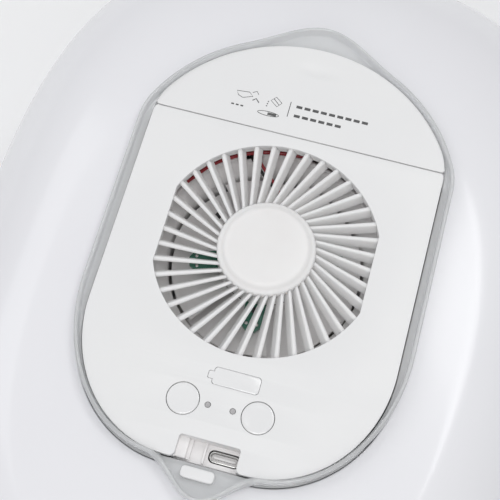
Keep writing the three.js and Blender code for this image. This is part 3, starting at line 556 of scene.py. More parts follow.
def make_bowl():
    outer, inner = [], []
    for a in np.radians(np.linspace(0, 90, 25)):
        inset_x, inset_y = 2 + 17 * (1 - math.sin(a)), 2 + 22 * (1 - math.sin(a))
        rise = 1 - math.cos(a)
        outer.append(ring_of(tank_outline(inset_x, inset_y), BOWL_FLOOR + 26 * rise))
        inner.append(ring_of(tank_outline(inset_x + TANK_WALL, inset_y + TANK_WALL),
                             BOWL_FLOOR + 3.2 + 23.8 * rise))
    for k in np.linspace(0.1, 1, 10):
        inset = 2 * (1 - k) ** 2
        z = BOWL_FLOOR + 26 + (SPLIT - 9 - BOWL_FLOOR - 26) * k
        outer.append(tank_ring(inset, z))
        inner.append(tank_ring(inset + TANK_WALL, z + 0.01))
    outer += [tank_ring(0, BOWL_TOP - 0.4), tank_ring(0.4, BOWL_TOP)]
    inner += [tank_ring(TANK_WALL, BOWL_TOP - 0.4), tank_ring(TANK_WALL - 0.4, BOWL_TOP)]
    bowl = skinned(outer + inner[::-1], sharp=50)
    spots = [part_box(f"foot_{i}") for i in (1, 2, 3, 4)]
    wells = []
    for low, high in spots:
        x, y = (low.x + high.x) / 2 / MM, (low.y + high.y) / 2 / MM
        wells.append(pin(7.2, -1, BOWL_FLOOR + 1, 48, x, y))
    return cut(bowl, joined(*wells), sharp=50)


def make_seal():
    low, high = seal_low.z, seal_high.z
    rings = []
    for a in np.radians(np.arange(0, 360, 30)):
        inset = 1.3 - 1.0 * math.cos(a)
        rings.append(tank_ring(inset, (low + high) / 2 + (high - low) / 2 * math.sin(a)))
    return skinned(rings, closed=True, sharp=60)


piece("tank_deck_shell", make_deck(), "lid", "tank_shell", SHELL, "tank_deck")
piece("tank_bowl_shell", make_bowl(), "tank", "tank_shell", SHELL, "tank_bowl")
piece("tank_seal_ring", make_seal(), "tank", "seal_rubber", RUBBER, "tank_seal")
for i in (1, 2, 3, 4):
    low, high = box_mm(f"foot_{i}")
    x, y, top = (low.x + high.x) / 2, (low.y + high.y) / 2, high.z
    profile = [(0, 0.35), (4.4, 0.35), (4.9, 0.05), (5.4, 0), (6.4, 0), (6.85, 0.25), (7, 0.7),
               (7, top - 0.3), (6.7, top), (0, top)]
    piece(f"foot_pad_{i}", turned(profile, 64, x, y), "tank", "seal_rubber", RUBBER, f"foot_{i}")


# ---------- Head tray ----------
def make_tray():
    floor = TRAY_BOTTOM + 1.6
    ledge = ledge_level()
    flange = ledge - 1.4
    inside, outside = TRAY_GAP, TRAY_GAP + TRAY_WALL
    duct = circle(0, 0, THROAT, 480)
    rings = [ring_of(duct, TRAY_BOTTOM + 0.3), ring_of(duct, floor - 0.3)]
    duct_wide = circle(0, 0, THROAT + 0.3, 480)
    rings.append(ring_of(duct_wide, floor))
    rings += between(rings[-1], head_ring(inside - 1.2, floor), (0.3, 0.6, 1))
    for s, c in bend(30, 60, 90):
        rings.append(head_ring(inside - 1.2 + 1.2 * s, floor + 1.2 * (1 - c)))
    rings.append(head_ring(inside, ledge - 0.4))
    for s, c in bend(45, 90):
        rings.append(head_ring(inside + 0.4 * (1 - c), ledge - 0.4 + 0.4 * s))
    rings += between(rings[-1], rim_ring(-RIM_WALL - 0.5, ledge), (0.5, 1))
    for s, c in bend(30, 60, 90):
        rings.append(rim_ring(-RIM_WALL - 0.5 + 0.5 * s, ledge + 0.5 * (1 - c)))
    rings.append(rim_ring(-RIM_WALL, RIM_TOP - 0.6))
    for s, c in bend(*range(180, -1, -20)):
        rings.append(rim_ring(-RIM_WALL / 2 + RIM_WALL / 2 * c, RIM_TOP - 0.6 + 0.6 * s))
    rings.append(rim_ring(0, flange + 0.3))
    rings.append(rim_ring(-0.3, flange))
    rings.append(head_ring(outside + 0.4, flange))
    rings.append(head_ring(outside, flange - 0.4))
    rings.append(head_ring(outside, TRAY_BOTTOM + 1.6))
    for s, c in bend(30, 60, 90):
        rings.append(head_ring(outside - 1.6 + 1.6 * c, TRAY_BOTTOM + 1.6 - 1.6 * s))
    rings += between(rings[-1], ring_of(duct_wide, TRAY_BOTTOM), (0.4, 0.7, 1))
    tray = skinned(rings, closed=True, sharp=50)
    holes = []
    for i in (1, 2, 3, 4):
        holes.append(pin(1.4, TRAY_BOTTOM - 1, floor + 1, 24, *centre(f"panel_screw_{i}")))
    return cut(tray, joined(*holes), sharp=50)


def ledge_level():
    """The flange rests 0.2 above the deck and is 1.4 thick."""
    return DECK_TOP + 0.2 + 1.4


piece("clear_tray", make_tray(), "head", "clear_tray", CLEAR, "head_tray")


# ---------- Head panel ----------
PANEL_THICK = 2.2
SHELF_TOP = FACE - 2.2
NOTCH_HALF = 9.0
NOTCH_REAR = -60.6
CONTROLS_Y = -50.7


def clipped(outline, y, keep_below, corner=1.0):
    """The part of an outline on one side of a line of constant y, its two new corners rounded."""
    sign = 1 if keep_below else -1
    kept = [(a, b) for a, b in outline if (y - b) * sign > corner * 1.05]
    points = np.array(outline)
    near = points[np.argsort(np.abs(points[:, 1] - y))[:60]]
    right = float(near[near[:, 0] > 0][0][0])
    start = max(range(len(kept)), key=lambda i: math.hypot(kept[i][0] - kept[i - 1][0],
                                                           kept[i][1] - kept[i - 1][1]))
    kept = kept[start:] + kept[:start]
    if keep_below:
        return kept + arc(right - corner, y - corner, corner, corner, 0, 90, 6) \
            + arc(-right + corner, y - corner, corner, corner, 90, 180, 6)
    return kept + arc(-right + corner, y + corner, corner, corner, 180, 270, 6) \
        + arc(right - corner, y + corner, corner, corner, 270, 360, 6)


def notched(outline):
    """The charging notch opens through the front edge, which flares into it."""
    kept = [(a, b) for a, b in outline if not (abs(a) < NOTCH_HALF + 1.6 and b < -60)]
    start = next(i for i in range(len(kept)) if kept[i][1] < -60 and kept[i - 1][0] < 0 < kept[i][0])
    kept = kept[start:] + kept[:start]
    w, rear, front = NOTCH_HALF, NOTCH_REAR, PANEL_FRONT
    left = arc(-w - 1.6, front + 1.6, 1.6, 1.6, -90, 0, 6) + arc(-w + 0.9, rear - 0.9, 0.9, 0.9, 180, 90, 6)
    right = arc(w - 0.9, rear - 0.9, 0.9, 0.9, 90, 0, 6) + arc(w + 1.6, front + 1.6, 1.6, 1.6, 180, 270, 6)
    return kept + left + right


def window_outline(grow):
    left, right = -6 + 1.5 - grow, 9.3 + grow
    front, rear = -44.4 - grow, -39.3 + grow
    middle, nub, tip = -41.85, 1.1 + grow, -6 - grow
    return (
        arc(right - 1.1, front + 1.1, 1.1, 1.1, -90, 0, 6)
        + arc(right - 1.1, rear - 1.1, 1.1, 1.1, 0, 90, 6)
        + arc(left + 0.9, rear - 0.9, 0.9, 0.9, 90, 180, 6)
        + [(left, middle + nub)]
        + arc(tip + 0.4, middle + nub - 0.4, 0.4, 0.4, 90, 180, 4)
        + arc(tip + 0.4, middle - nub + 0.4, 0.4, 0.4, 180, 270, 4)
        + [(left, middle - nub)]
        + arc(left + 0.9, front + 0.9, 0.9, 0.9, 180, 270, 6)
    )


def make_panel_plate():
    outline = notched(clipped(head_outline(0), SEAM_Y, True))
    holes = [grille_outline(0), window_outline(0.1)]
    for side in (-1, 1):
        holes.append(circle(side * KEY_X, CONTROLS_Y, 4.88, 96))
        holes.append(circle(side * LIGHT_X, CONTROLS_Y, 0.9, 40))
    return plate(outline, FACE - PANEL_THICK, FACE, 0.14, holes)


def make_slats():
    """Straight bars with rounded backs that lean over and pass the hub on a small circle."""
    start = math.sqrt((HUB_RADIUS - 1.2) ** 2 - SLAT_SKEW**2)
    end = math.sqrt((GRILLE_RADIUS + 0.9) ** 2 - SLAT_SKEW**2)
    bars = []
    for number in range(SLAT_COUNT):
        turn = math.radians(SLAT_FIRST + 360 / SLAT_COUNT * number)
        c, s = math.cos(turn), math.sin(turn)
        rings = []
        for t in np.linspace(0, 1, 14):
            x = start + (end - start) * t
            half = (SLAT_INNER_WIDTH + (SLAT_OUTER_WIDTH - SLAT_INNER_WIDTH) * t) / 2
            top = -0.25 - 0.1 * math.sin(math.pi * t)
            section = []
            for a in range(0, 181, 20):
                section.append((half * math.cos(math.radians(a)),
                                top - half * (1 - math.sin(math.radians(a)))))
            for a in range(180, 361, 60):
                section.append((half * 0.8 * math.cos(math.radians(a)) - SLAT_LEAN,
                                top - SLAT_DEPTH + 0.4 + half * 0.8 * math.sin(math.radians(a))))
            ring = []
            for across, down in section:
                px, py = x, SLAT_SKEW + across
                gx, gy = px * c - py * s, px * s + py * c
                if abs(gx) > GRILLE_FLAT + 0.9:
                    gx = math.copysign(GRILLE_FLAT + 0.9, gx)
                ring.append((gx, gy, FACE + down))
            rings.append(ring)
        bars.append(skinned(rings, sharp=60))
    return joined(*bars)


def make_hub():
    """A flat cap with a rounded step down to its shoulder."""
    profile = [(0, HUB_TOP), (11.6, HUB_TOP - 0.1), (12.3, HUB_TOP - 0.22), (12.9, HUB_TOP - 0.55),
               (13.25, HUB_TOP - 0.95), (13.6, HUB_TOP - 1.2), (14.2, HUB_TOP - 1.3), (14.6, HUB_TOP - 1.45),
               (14.88, HUB_TOP - 1.75), (HUB_RADIUS, HUB_TOP - 2.2), (HUB_RADIUS, HUB_BOTTOM + 0.3),
               (HUB_RADIUS - 0.3, HUB_BOTTOM), (0, HUB_BOTTOM)]
    return turned(profile, 128, sharp=60)


HUB_BOTTOM = box_mm("motor_board")[1].z + 0.2


def make_frame():
    """What the panel carries below: the grille's wall, the cover's shelf and the screw bosses."""
    under = FACE - PANEL_THICK
    parts = [plate(grille_outline(1.5), FACE - SLAT_DEPTH - 0.3, under + 0.2, 0.15, [grille_outline(0.02)])]
    cell_low, cell_high = box_mm("battery_cell")
    bay_x, bay_y = cell_high.x + 4.1, (cell_low.y + cell_high.y) / 2
    half_y = (cell_high.y - cell_low.y) / 2 + 0.9
    shelf = clipped(head_outline(0), SEAM_Y - 2, False, 0.5)
    parts.append(plate(shelf, SHELF_TOP - 1.6, SHELF_TOP, 0.2,
                       [rounded_box(-bay_x, bay_x, bay_y - half_y, bay_y + half_y, 0.8)]))
    for i in (1, 2, 3, 4):
        parts.append(boss(*centre(f"panel_screw_{i}"), TRAY_BOTTOM + 1.8, under + 0.1, 9))
    for i in (1, 2):
        top = box_mm("control_board")[1].z
        parts.append(boss(*centre(f"board_screw_{i}"), top + 0.2, under + 0.1, 4.8))
    return joined(*parts)


def boss(x, y, z0, z1, bore):
    return turned([(1.25, z0 + 0.2), (1.45, z0), (2.6, z0), (2.8, z0 + 0.2), (2.8, z1 - 0.1),
                   (0.3, z1 - 0.1), (0.3, z0 + bore + 0.6), (1.2, z0 + bore)], 40, x, y)


def make_pocket():
    """The charging pocket: a step on the left, a floor with a rib and the socket's well on the right."""
    floor = FACE - 5.6
    w, wall = NOTCH_HALF, 1.2
    x, y = centre("charge_socket")
    well = rounded_box(x - 4.75, x + 4.75, y - 1.95, y + 1.95, 1.6)
    front = PANEL_FRONT + 0.5
    parts = [
        plate(rounded_box(-w - wall, w + wall, front, NOTCH_REAR + wall, 0.5), floor - wall, floor, 0.15,
              [well]),
        slab(-w - wall, -w, front, NOTCH_REAR + wall, floor - 0.2, FACE - PANEL_THICK + 0.1, 0.15),
        slab(w, w + wall, front, NOTCH_REAR + wall, floor - 0.2, FACE - PANEL_THICK + 0.1, 0.15),
        slab(-w - 0.2, w + 0.2, NOTCH_REAR, NOTCH_REAR + wall, floor - 0.2, FACE - PANEL_THICK + 0.1, 0.15),
        slab(-w - 0.1, -w + 3.0, front + 0.2, NOTCH_REAR + 0.1, floor - 0.1, floor + 2.6, 0.3),
        slab(-w + 2.9, -w + 4.1, front + 0.3, NOTCH_REAR + 0.1, floor - 0.1, floor + 1.2, 0.25),
        slab(x - 6.2, x - 5.5, front + 0.2, NOTCH_REAR + 0.1, floor - 0.1, floor + 1.5, 0.2),
    ]
    return joined(*parts)


piece("panel_plate", make_panel_plate(), "head", "white_plastic", WHITE, "head_panel")
piece("grille_slats", make_slats(), "head", "white_plastic", SLATS)
piece("grille_hub", make_hub(), "head", "white_plastic", SLATS)
piece("panel_frame", make_frame(), "head", "white_plastic", INNER)
piece("charge_pocket", make_pocket(), "head", "white_plastic", INNER)


# ---------- Top cover ----------
def make_cover():
    """The cover is skinned in rings about its own middle, with a thumb dimple near the rear."""
    outline = clipped(head_outline(0), SEAM_Y + 0.35, False)
    cy = (SEAM_Y + cover_high.y) / 2
    low, high = FACE - 2.0, FACE
    spin = [(x, y - cy) for x, y in outline]

    def ring(shrink, scale, z):
        base = np.array(ring_of(spin, z, 320))
        radius = np.hypot(base[:, 0], base[:, 1])
        base[:, :2] *= ((radius - shrink) / radius * scale)[:, None]
        return [(x, y + cy, z - dimple(x, y + cy) if z > high - 0.01 else z) for x, y, _ in base]

    def dimple(x, y):
        reach = math.hypot((x - 0.5) / 9.0, (y - 63.0) / 3.4)
        return 0.45 * (0.5 + 0.5 * math.cos(math.pi * min(reach, 1)))

    rings = [ring(0.2, t, low) for t in (0.02, 0.3, 0.6, 0.85, 1)]
    rings += [ring(0, 1, low + 0.2), ring(0, 1, high - 0.15)]
    for s, c in bend(30, 60, 90):
        rings.append(ring(0.15 * (1 - c), 1, high - 0.15 + 0.15 * s))
    rings += [ring(0.15, t, high) for t in np.linspace(0.98, 0.02, 48)]
    cover = skinned(rings, sharp=50)
    cell_low, cell_high = box_mm("battery_cell")
    mid_y = (cell_low.y + cell_high.y) / 2
    clips = []
    for side in (-1, 1):
        x = side * (cell_high.x + 4.1 - 0.9)
        clips.append(slab(x - 0.6, x + 0.6, mid_y - 3, mid_y + 3, low - 4.6, low + 0.2, 0.2))
        hook = x + side * 0.1
        clips.append(slab(hook - 0.45, hook + 0.45, mid_y - 2.6, mid_y + 2.6, low - 4.4, low - 3.4, 0.2))
    return joined(cover, *clips)


def stroke(points, width, closed=False):
    """A printed line: a thin ribbon that lies on the cover."""
    z0, z1 = FACE - 0.02, FACE + 0.03
    p = [Vector((x, y)) for x, y in points]
    left, right = [], []
    for i, q in enumerate(p):
        before = p[i - 1] if (i or closed) else p[0]
        after = p[(i + 1) % len(p)] if (i < len(p) - 1 or closed) else p[-1]
        along = (after - before).normalized()
        side = Vector((-along.y, along.x)) * width / 2
        left.append(q + side)
        right.append(q - side)
    count = len(p)
    vertices = [(v.x, v.y, z) for z in (z0, z1) for v in left + right]
    faces = []
    for i in range(count if closed else count - 1):
        j = (i + 1) % count
        a, b, c, d = i, j, count + j, count + i
        n = 2 * count
        faces += [(a, b, c, d), (a + n, d + n, c + n, b + n), (a, a + n, b + n, b), (d, c, c + n, d + n)]
    if not closed:
        n = 2 * count
        faces += [(0, count, count + n, n), (count - 1, count - 1 + n, n + n - 1, n - 1)]
    return mesh_from(vertices, faces)


def make_print():
    """Generic pictograms of filling a tank, a divider and two rows of plain dashes."""
    w = 0.2
    ox, oy = -19.5, 47.6
    marks = []
    dish = [(ox - 3.4, oy + 1.9), (ox + 0.6, oy + 2.3), (ox + 2.0, oy + 1.1), (ox - 1.0, oy - 0.1),
            (ox - 2.6, oy + 0.5)]
    marks.append(stroke(dish, w, closed=True))
    marks.append(stroke([(ox + 1.6, oy + 2.4), (ox + 2.8, oy + 3.2), (ox + 3.6, oy + 2.2)], w))
    marks.append(stroke([(ox + 2.2, oy - 0.3), (ox + 3.2, oy + 0.6), (ox + 4.4, oy - 0.6)], w * 1.6))
    for k in range(3):
        marks.append(stroke([(ox - 4.0 + 1.5 * k, oy - 3.0), (ox - 3.1 + 1.5 * k, oy - 3.0)], 0.5))
    cx, cy = ox + 9.6, oy + 0.9
    cup = [(cx - 1.7, cy + 0.3), (cx - 0.3, cy + 1.9), (cx + 1.9, cy + 0.2), (cx + 0.6, cy - 1.4)]
    marks.append(stroke(cup, w, closed=True))
    marks.append(stroke([(cx - 0.9, cy + 1.1), (cx + 0.2, cy + 0.2), (cx + 1.2, cy - 0.7)], w))
    for k in range(3):
        marks.append(stroke(circle(cx - 2.4 - 0.1 * k, cy - 0.3 - 0.8 * k, 0.14, 10), 0.16, closed=True))
    bx, by = ox + 8.2, oy - 3.6
    loop = [(bx + 3.4 * math.cos(t), by + 0.75 * math.sin(t)) for t in np.linspace(0, 2 * np.pi, 28)[:-1]]
    marks.append(stroke(loop, w, closed=True))
    marks.append(stroke([(bx - 0.2, by), (bx + 2.6, by)], 0.9))
    marks.append(stroke([(ox + 14.2, oy + 2.4), (ox + 14.2, oy - 3.0)], 0.24))
    for row, count, size in ((0, 9, 1.9), (1, 6, 1.9)):
        for k in range(count):
            x = ox + 16.2 + k * 2.65
            y = oy + 1.15 - 3.3 * row
            marks.append(stroke([(x, y), (x + size, y)], 0.95))
    return joined(*marks)


piece("cover_plate", make_cover(), "cover", "white_plastic", WHITE, "top_cover")
piece("cover_print", make_print(), "cover", "white_plastic", INK)


# ---------- Controls ----------
def make_button(side):
    low, high = box_mm("left_button" if side < 0 else "right_button")
    x, top = side * KEY_X, high.z
    profile = [(0, top - 0.22), (2.0, top - 0.2), (3.6, top - 0.08), (4.2, top), (4.5, top - 0.06),
               (4.7, top - 0.3), (4.7, top - 2.35), (4.5, top - 2.55), (1.3, top - 2.6), (1.2, top - 2.8),
               (1.2, low.z + 0.15), (1.05, low.z), (0, low.z)]
    return turned(profile, 96, x, CONTROLS_Y)


def make_light(side):
    low, high = box_mm("left_light" if side < 0 else "right_light")
    profile = [(0, high.z - 0.1), (0.45, high.z - 0.07), (0.7, high.z - 0.02), (0.8, high.z - 0.15),
               (0.8, low.z + 0.2), (0.6, low.z), (0, low.z)]
    return turned(profile, 40, side * LIGHT_X, CONTROLS_Y)


for side, word in ((-1, "left"), (1, "right")):
    piece(f"{word}_key_cap", make_button(side), f"{word}_key", "clear_button", KEYS, f"{word}_button")
    piece(f"{word}_light_pipe", make_light(side), "head", "light_pipe", PIPES, f"{word}_light")
window_low, window_high = box_mm("battery_window")
piece("window_insert", plate(window_outline(0), window_low.z, window_high.z, 0.12), "head", "clear_button",
      KEYS, "battery_window")


def make_socket():
    low, high = box_mm("charge_socket")
    x, y = centre("charge_socket")
    hy = (high.y - low.y) / 2
    outer = rounded_box(low.x, high.x, low.y, high.y, hy - 0.1, 10)
    bore = rounded_box(low.x + 0.4, high.x - 0.4, low.y + 0.4, high.y - 0.4, hy - 0.5, 10)
    parts = [plate(outer, low.z, high.z, 0.12, [bore]),
             plate(bore, low.z + 0.1, low.z + 1.2, 0.05)]
    for k in range(7):
        px = x - 2.55 + 0.85 * k
        parts.append(slab(px - 0.2, px + 0.2, y - 0.42, y + 0.42, low.z + 2.5, high.z - 1.1, 0.05, 0.06))
    return joined(*parts)


def make_socket_insert():
    """The pale moulding that fills the bottom of the socket, with its centre blade."""
    low, high = box_mm("charge_socket")
    x, y = centre("charge_socket")
    hy = (high.y - low.y) / 2
    bed = rounded_box(low.x + 0.45, high.x - 0.45, low.y + 0.45, high.y - 0.45, hy - 0.55, 10)
    return joined(plate(bed, low.z + 1.25, high.z - 1.6, 0.1),
                  slab(x - 3.3, x + 3.3, y - 0.35, y + 0.35, high.z - 1.8, high.z - 0.7, 0.12))


def make_tongue():
    low, high = box_mm("latch_tongue")
    return plate(rounded_box(low.x, high.x, low.y, high.y, 1.2), low.z, high.z, 0.35)


piece("socket_shell", make_socket(), "head", "steel", STEEL, "charge_socket")
piece("socket_insert", make_socket_insert(), "head", "white_plastic", INNER)
piece("tongue_slider", make_tongue(), "latch", "white_plastic", WHITE, "latch_tongue")


# ---------- Boards ----------
def chips(spots, level):
    """Small parts on a board: (x, y, half width, half length, height)."""
    return joined(*[slab(x - a, x + a, y - b, y + b, level - 0.02, level + h, 0.12)
                    for x, y, a, b, h in spots])


def make_control_board():
    low, high = box_mm("control_board")
    outline = rounded_box(low.x, high.x, low.y, high.y, 2.0)
    outline = [(x, y) for x, y in outline if math.hypot(x, y) > 36.4]
    holes = [circle(centre(f"board_screw_{i}")[0], CONTROLS_Y, 1.25, 32) for i in (1, 2)]
    return plate(outline, low.z, high.z, 0.08, holes)


board_low, board_high = box_mm("control_board")
piece("control_board_plate", make_control_board(), "head", "circuit_board", BOARD, "control_board")
CHIPS = [(-20, -47.5, 2.0, 2.5, 1.1), (-15, -43, 0.8, 0.45, 0.5), (0, -46, 2.5, 2.5, 0.9),
         (16, -44, 0.8, 0.45, 0.5), (20, -46.5, 1.5, 1.5, 0.8), (-3.7, -50.7, 0.8, 0.4, 0.5),
         (3.7, -50.7, 0.8, 0.4, 0.5), (23, -52, 1.2, 0.7, 0.7)]
piece("control_board_chips", chips(CHIPS, board_high.z), "head", "dark_plastic", DARK)
pads = [(-22 + 1.1 * k, -56.4, 0.3, 0.8, 0.08) for k in range(6)]
pads += [(18 + 1.3 * k, -40.3, 0.4, 0.8, 0.08) for k in range(5)]
piece("control_board_pads", chips(pads, board_high.z), "head", "steel", STEEL)

motor_low, motor_high = box_mm("motor_board")
ARM_TIP = 23.6
ARM_HALF = 3.15
ARM_CLIP = 1.8
ARM_ANGLES = (17, 92.5, 196.5, 273)


def make_motor_board():
    parts = [turned([(0, motor_high.z), (12.9, motor_high.z), (13, motor_high.z - 0.1),
                     (13, motor_low.z + 0.1), (12.9, motor_low.z), (0, motor_low.z)], 96)]
    for degrees in ARM_ANGLES:
        corners = [(11.5, -ARM_HALF), (ARM_TIP - ARM_CLIP, -ARM_HALF), (ARM_TIP, ARM_CLIP - ARM_HALF),
                   (ARM_TIP, ARM_HALF - ARM_CLIP), (ARM_TIP - ARM_CLIP, ARM_HALF), (11.5, ARM_HALF)]
        arm = plate(corners, motor_low.z, motor_high.z, 0.06)
        parts.append(moved(arm, turn=degrees))
    return joined(*parts)


piece("motor_board_plate", make_motor_board(), "head", "circuit_board", BOARD, "motor_board")
ring = [(13.0, motor_low.z + 0.1), (14.7, motor_low.z + 0.1), (14.8, motor_low.z + 0.3),
        (14.8, motor_high.z + 0.02), (14.6, motor_high.z + 0.14), (13.2, motor_high.z + 0.14),
        (13.0, motor_high.z + 0.02)]
piece("motor_ring", turned(ring, 96), "head", "dark_plastic", DARK)


def motor_details():
    dark, bright = [], []
    for degrees, radius, half_x, half_y, height in ((153, 20.6, 0.9, 1.5, 1.2), (88, 20.2, 0.7, 1.0, 1.2),
                                                    (99, 19.6, 0.6, 0.9, 1.0), (273, 17.0, 0.9, 0.6, 0.6),
                                                    (17, 17.4, 0.6, 0.9, 0.6)):
        part = slab(radius - half_x, radius + half_x, -half_y, half_y, motor_high.z - 0.02,
                    motor_high.z + height, 0.12)
        dark.append(moved(part, turn=degrees))
    for degrees in ARM_ANGLES:
        for dy in (-1.6, 1.6):
            dot = turned([(0, motor_high.z + 0.25), (0.35, motor_high.z + 0.2), (0.55, motor_high.z + 0.02),
                          (0.55, motor_high.z - 0.05), (0, motor_high.z - 0.05)], 16)
            bright.append(moved(moved(dot, x=21.3, y=dy), turn=degrees))
    return joined(*dark), joined(*bright)


motor_dark, motor_bright = motor_details()
piece("motor_board_parts", motor_dark, "head", "dark_plastic", DARK)
piece("motor_board_joints", motor_bright, "head", "steel", STEEL)
for word, side in (("left", -1), ("right", 1)):
    low, high = box_mm(f"{word}_switch")
    x = (low.x + high.x) / 2
    piece(f"{word}_switch_case", slab(low.x, high.x, low.y, high.y, low.z, low.z + 1.35, 0.2), "head",
          "steel", STEEL, f"{word}_switch")
    profile = [(0, high.z), (1.3, high.z), (1.6, high.z - 0.2), (1.6, low.z + 1.2), (0, low.z + 1.2)]
    piece(f"{word}_switch_stem", turned(profile, 32, x, CONTROLS_Y), "head", "dark_plastic", DARK)


# ---------- Fan ----------
def make_shroud():
    low, high = box_mm("fan_shroud")
    bottom, top = low.z, high.z
    flange = high.x
    throat_top = FACE - 14
    wall = 1.4
    profile = [(THROAT, bottom + 0.2), (THROAT + 0.2, bottom), (flange - 0.3, bottom),
               (flange, bottom + 0.3), (flange, bottom + 1.3), (flange - 0.3, bottom + 1.6),
               (THROAT + wall + 0.8, bottom + 1.6), (THROAT + wall, bottom + 2.4),
               (THROAT + wall, throat_top - 2)]
    for t in np.linspace(0, 1, 9):
        swell_out = t * t * (3 - 2 * t)
        z = throat_top - 0.4 + (top - 0.6 - throat_top + 0.4) * t
        profile.append((THROAT + wall + (MOUTH - THROAT) * swell_out, z))
    profile += [(MOUTH + wall, top - 0.3), (MOUTH + wall - 0.3, top), (MOUTH + 0.3, top), (MOUTH, top - 0.3)]
    for t in np.linspace(1, 0, 9):
        swell_out = t * t * (3 - 2 * t)
        profile.append((THROAT + (MOUTH - THROAT) * swell_out, throat_top + (top - 0.5 - throat_top) * t))
    shroud = turned(profile, 144, sharp=50)
    tools = [moved(slab(MOUTH - 6, MOUTH + 6, -2.7, 2.7, top - 2.4, top + 2.4, 0.3), turn=111)]
    for degrees in (45, 165, 285):
        a = math.radians(degrees)
        tools.append(pin(1.25, bottom - 1, bottom + 3, 24, 34.8 * math.cos(a), 34.8 * math.sin(a)))
    return cut(shroud, joined(*tools), sharp=50)


def make_impeller():
    stator_low = box_mm("motor_stator")[0].z
    cup_bottom = stator_low - 0.3 - 1
    cup_top = motor_low.z - 1.6
    cup = turned([(1.05, cup_bottom + 0.2), (1.25, cup_bottom), (12.7, cup_bottom), (13.2, cup_bottom + 0.2),
                  (13.5, cup_bottom + 0.8), (13.5, cup_top - 0.2), (13.3, cup_top), (12.7, cup_top),
                  (12.5, cup_top - 0.2), (12.5, cup_bottom + 1), (1.05, cup_bottom + 1)], 96, sharp=50)
    middle = (cup_top + cup_bottom) / 2
    blades = []
    for number in range(BLADE_COUNT):
        rings = []
        for s in np.linspace(0, 1, 11):
            radius = BLADE_ROOT + (BLADE_TIP - BLADE_ROOT) * s
            half = BLADE_HALF_SWEEP - s
            rise = 4.2 - 1.2 * s
            thick = 0.62 - 0.16 * s
            upper, lower = [], []
            for u in np.linspace(-1, 1, 13):
                angle = math.radians(360 / BLADE_COUNT * number + half * u)
                height = rise * u - 0.9 * (1 - u * u)
                t = thick * math.sqrt(max(1 - u**4, 0.04))
                upper.append((radius * math.cos(angle), radius * math.sin(angle), middle + height + t))
                lower.append((radius * math.cos(angle), radius * math.sin(angle), middle + height - t))
            rings.append(lower + upper[::-1])
        blades.append(skinned(rings, sharp=60))
    return joined(cup, *blades)


def make_stator():
    low, high = box_mm("motor_stator")
    steel, coils = [], []
    hub = 6.4
    for level in np.linspace(low.z + 0.9, high.z - 1.3, 7):
        sheets = [plate(circle(0, 0, hub, 48), level, level + 0.42, 0.06, [circle(0, 0, 2.7, 32)])]
        for i in range(TEETH):
            tooth = [(hub - 0.4, -0.85), (9.2, -0.85), (9.3, -2.1), (10.3, -1.9), (10.45, 0), (10.3, 1.9),
                     (9.3, 2.1), (9.2, 0.85), (hub - 0.4, 0.85)]
            sheets.append(moved(plate(tooth, level, level + 0.42, 0.06), turn=40 * i))
        steel.append(joined(*sheets))
    for i in range(TEETH):
        turns = []
        for k in range(5):
            x = hub + 0.3 + 0.52 * k
            loop = [Vector((x, y, z)) for y, z in rounded_box(-1.3, 1.3, low.z + 0.3, high.z - 0.3, 0.7, 3)]
            loop.append(loop[0])
            turns.append(tube(loop, 0.26, 8))
        coils.append(moved(joined(*turns), turn=40 * i))
    return joined(*steel), joined(*coils)


def chamfered_ring(r0, r1, z0, z1, c, steps):
    return turned([(r0, z0 + c), (r0 + c, z0), (r1 - c, z0), (r1, z0 + c), (r1, z1 - c), (r1 - c, z1),
                   (r0 + c, z1), (r0, z1 - c)], steps)


def ring_part(node, bore):
    """A round part with a bore, its edges chamfered."""
    low, high = box_mm(node)
    return chamfered_ring(bore, (high.x - low.x) / 2, low.z, high.z, 0.2, 64)


def make_shaft():
    low, high = box_mm("motor_shaft")
    return turned([(0, low.z), (0.8, low.z), (1, low.z + 0.2), (1, high.z - 0.9), (0.85, high.z - 0.8),
                   (0.85, high.z - 0.6), (1, high.z - 0.5), (1, high.z - 0.2), (0.8, high.z), (0, high.z)],
                  48)


piece("shroud_body", make_shroud(), "head", "white_plastic", INNER, "fan_shroud")
piece("impeller_body", make_impeller(), "rotor", "white_plastic", INNER, "impeller")
core, coils = make_stator()
piece("stator_core", core, "head", "steel", STEEL, "motor_stator")
piece("stator_coils", coils, "head", "copper_winding", COPPER)
piece("bearing_upper", ring_part("upper_bearing", 1.1), "head", "steel", STEEL, "upper_bearing")
piece("bearing_lower", ring_part("lower_bearing", 1.1), "head", "steel", STEEL, "lower_bearing")
piece("magnet_sleeve", ring_part("magnet_ring", 11.2), "rotor", "dark_plastic", DARK, "magnet_ring")
piece("shaft_pin", make_shaft(), "rotor", "steel", STEEL, "motor_shaft")


# ---------- Battery ----------
cell_low, cell_high = box_mm("battery_cell")
CELL_Y = (cell_low.y + cell_high.y) / 2
CELL_Z = (cell_low.z + cell_high.z) / 2
CELL_R = (cell_high.y - cell_low.y) / 2


def lying(profile, steps=72):
    """A profile of (radius, distance along the cell) turned about the cell's own axis."""
    mesh = turned(profile, steps)
    turning = Matrix.Rotation(math.radians(90), 4, "Y")
    mesh.transform(Matrix.Translation((0, CELL_Y * MM, CELL_Z * MM)) @ turning)
    return mesh


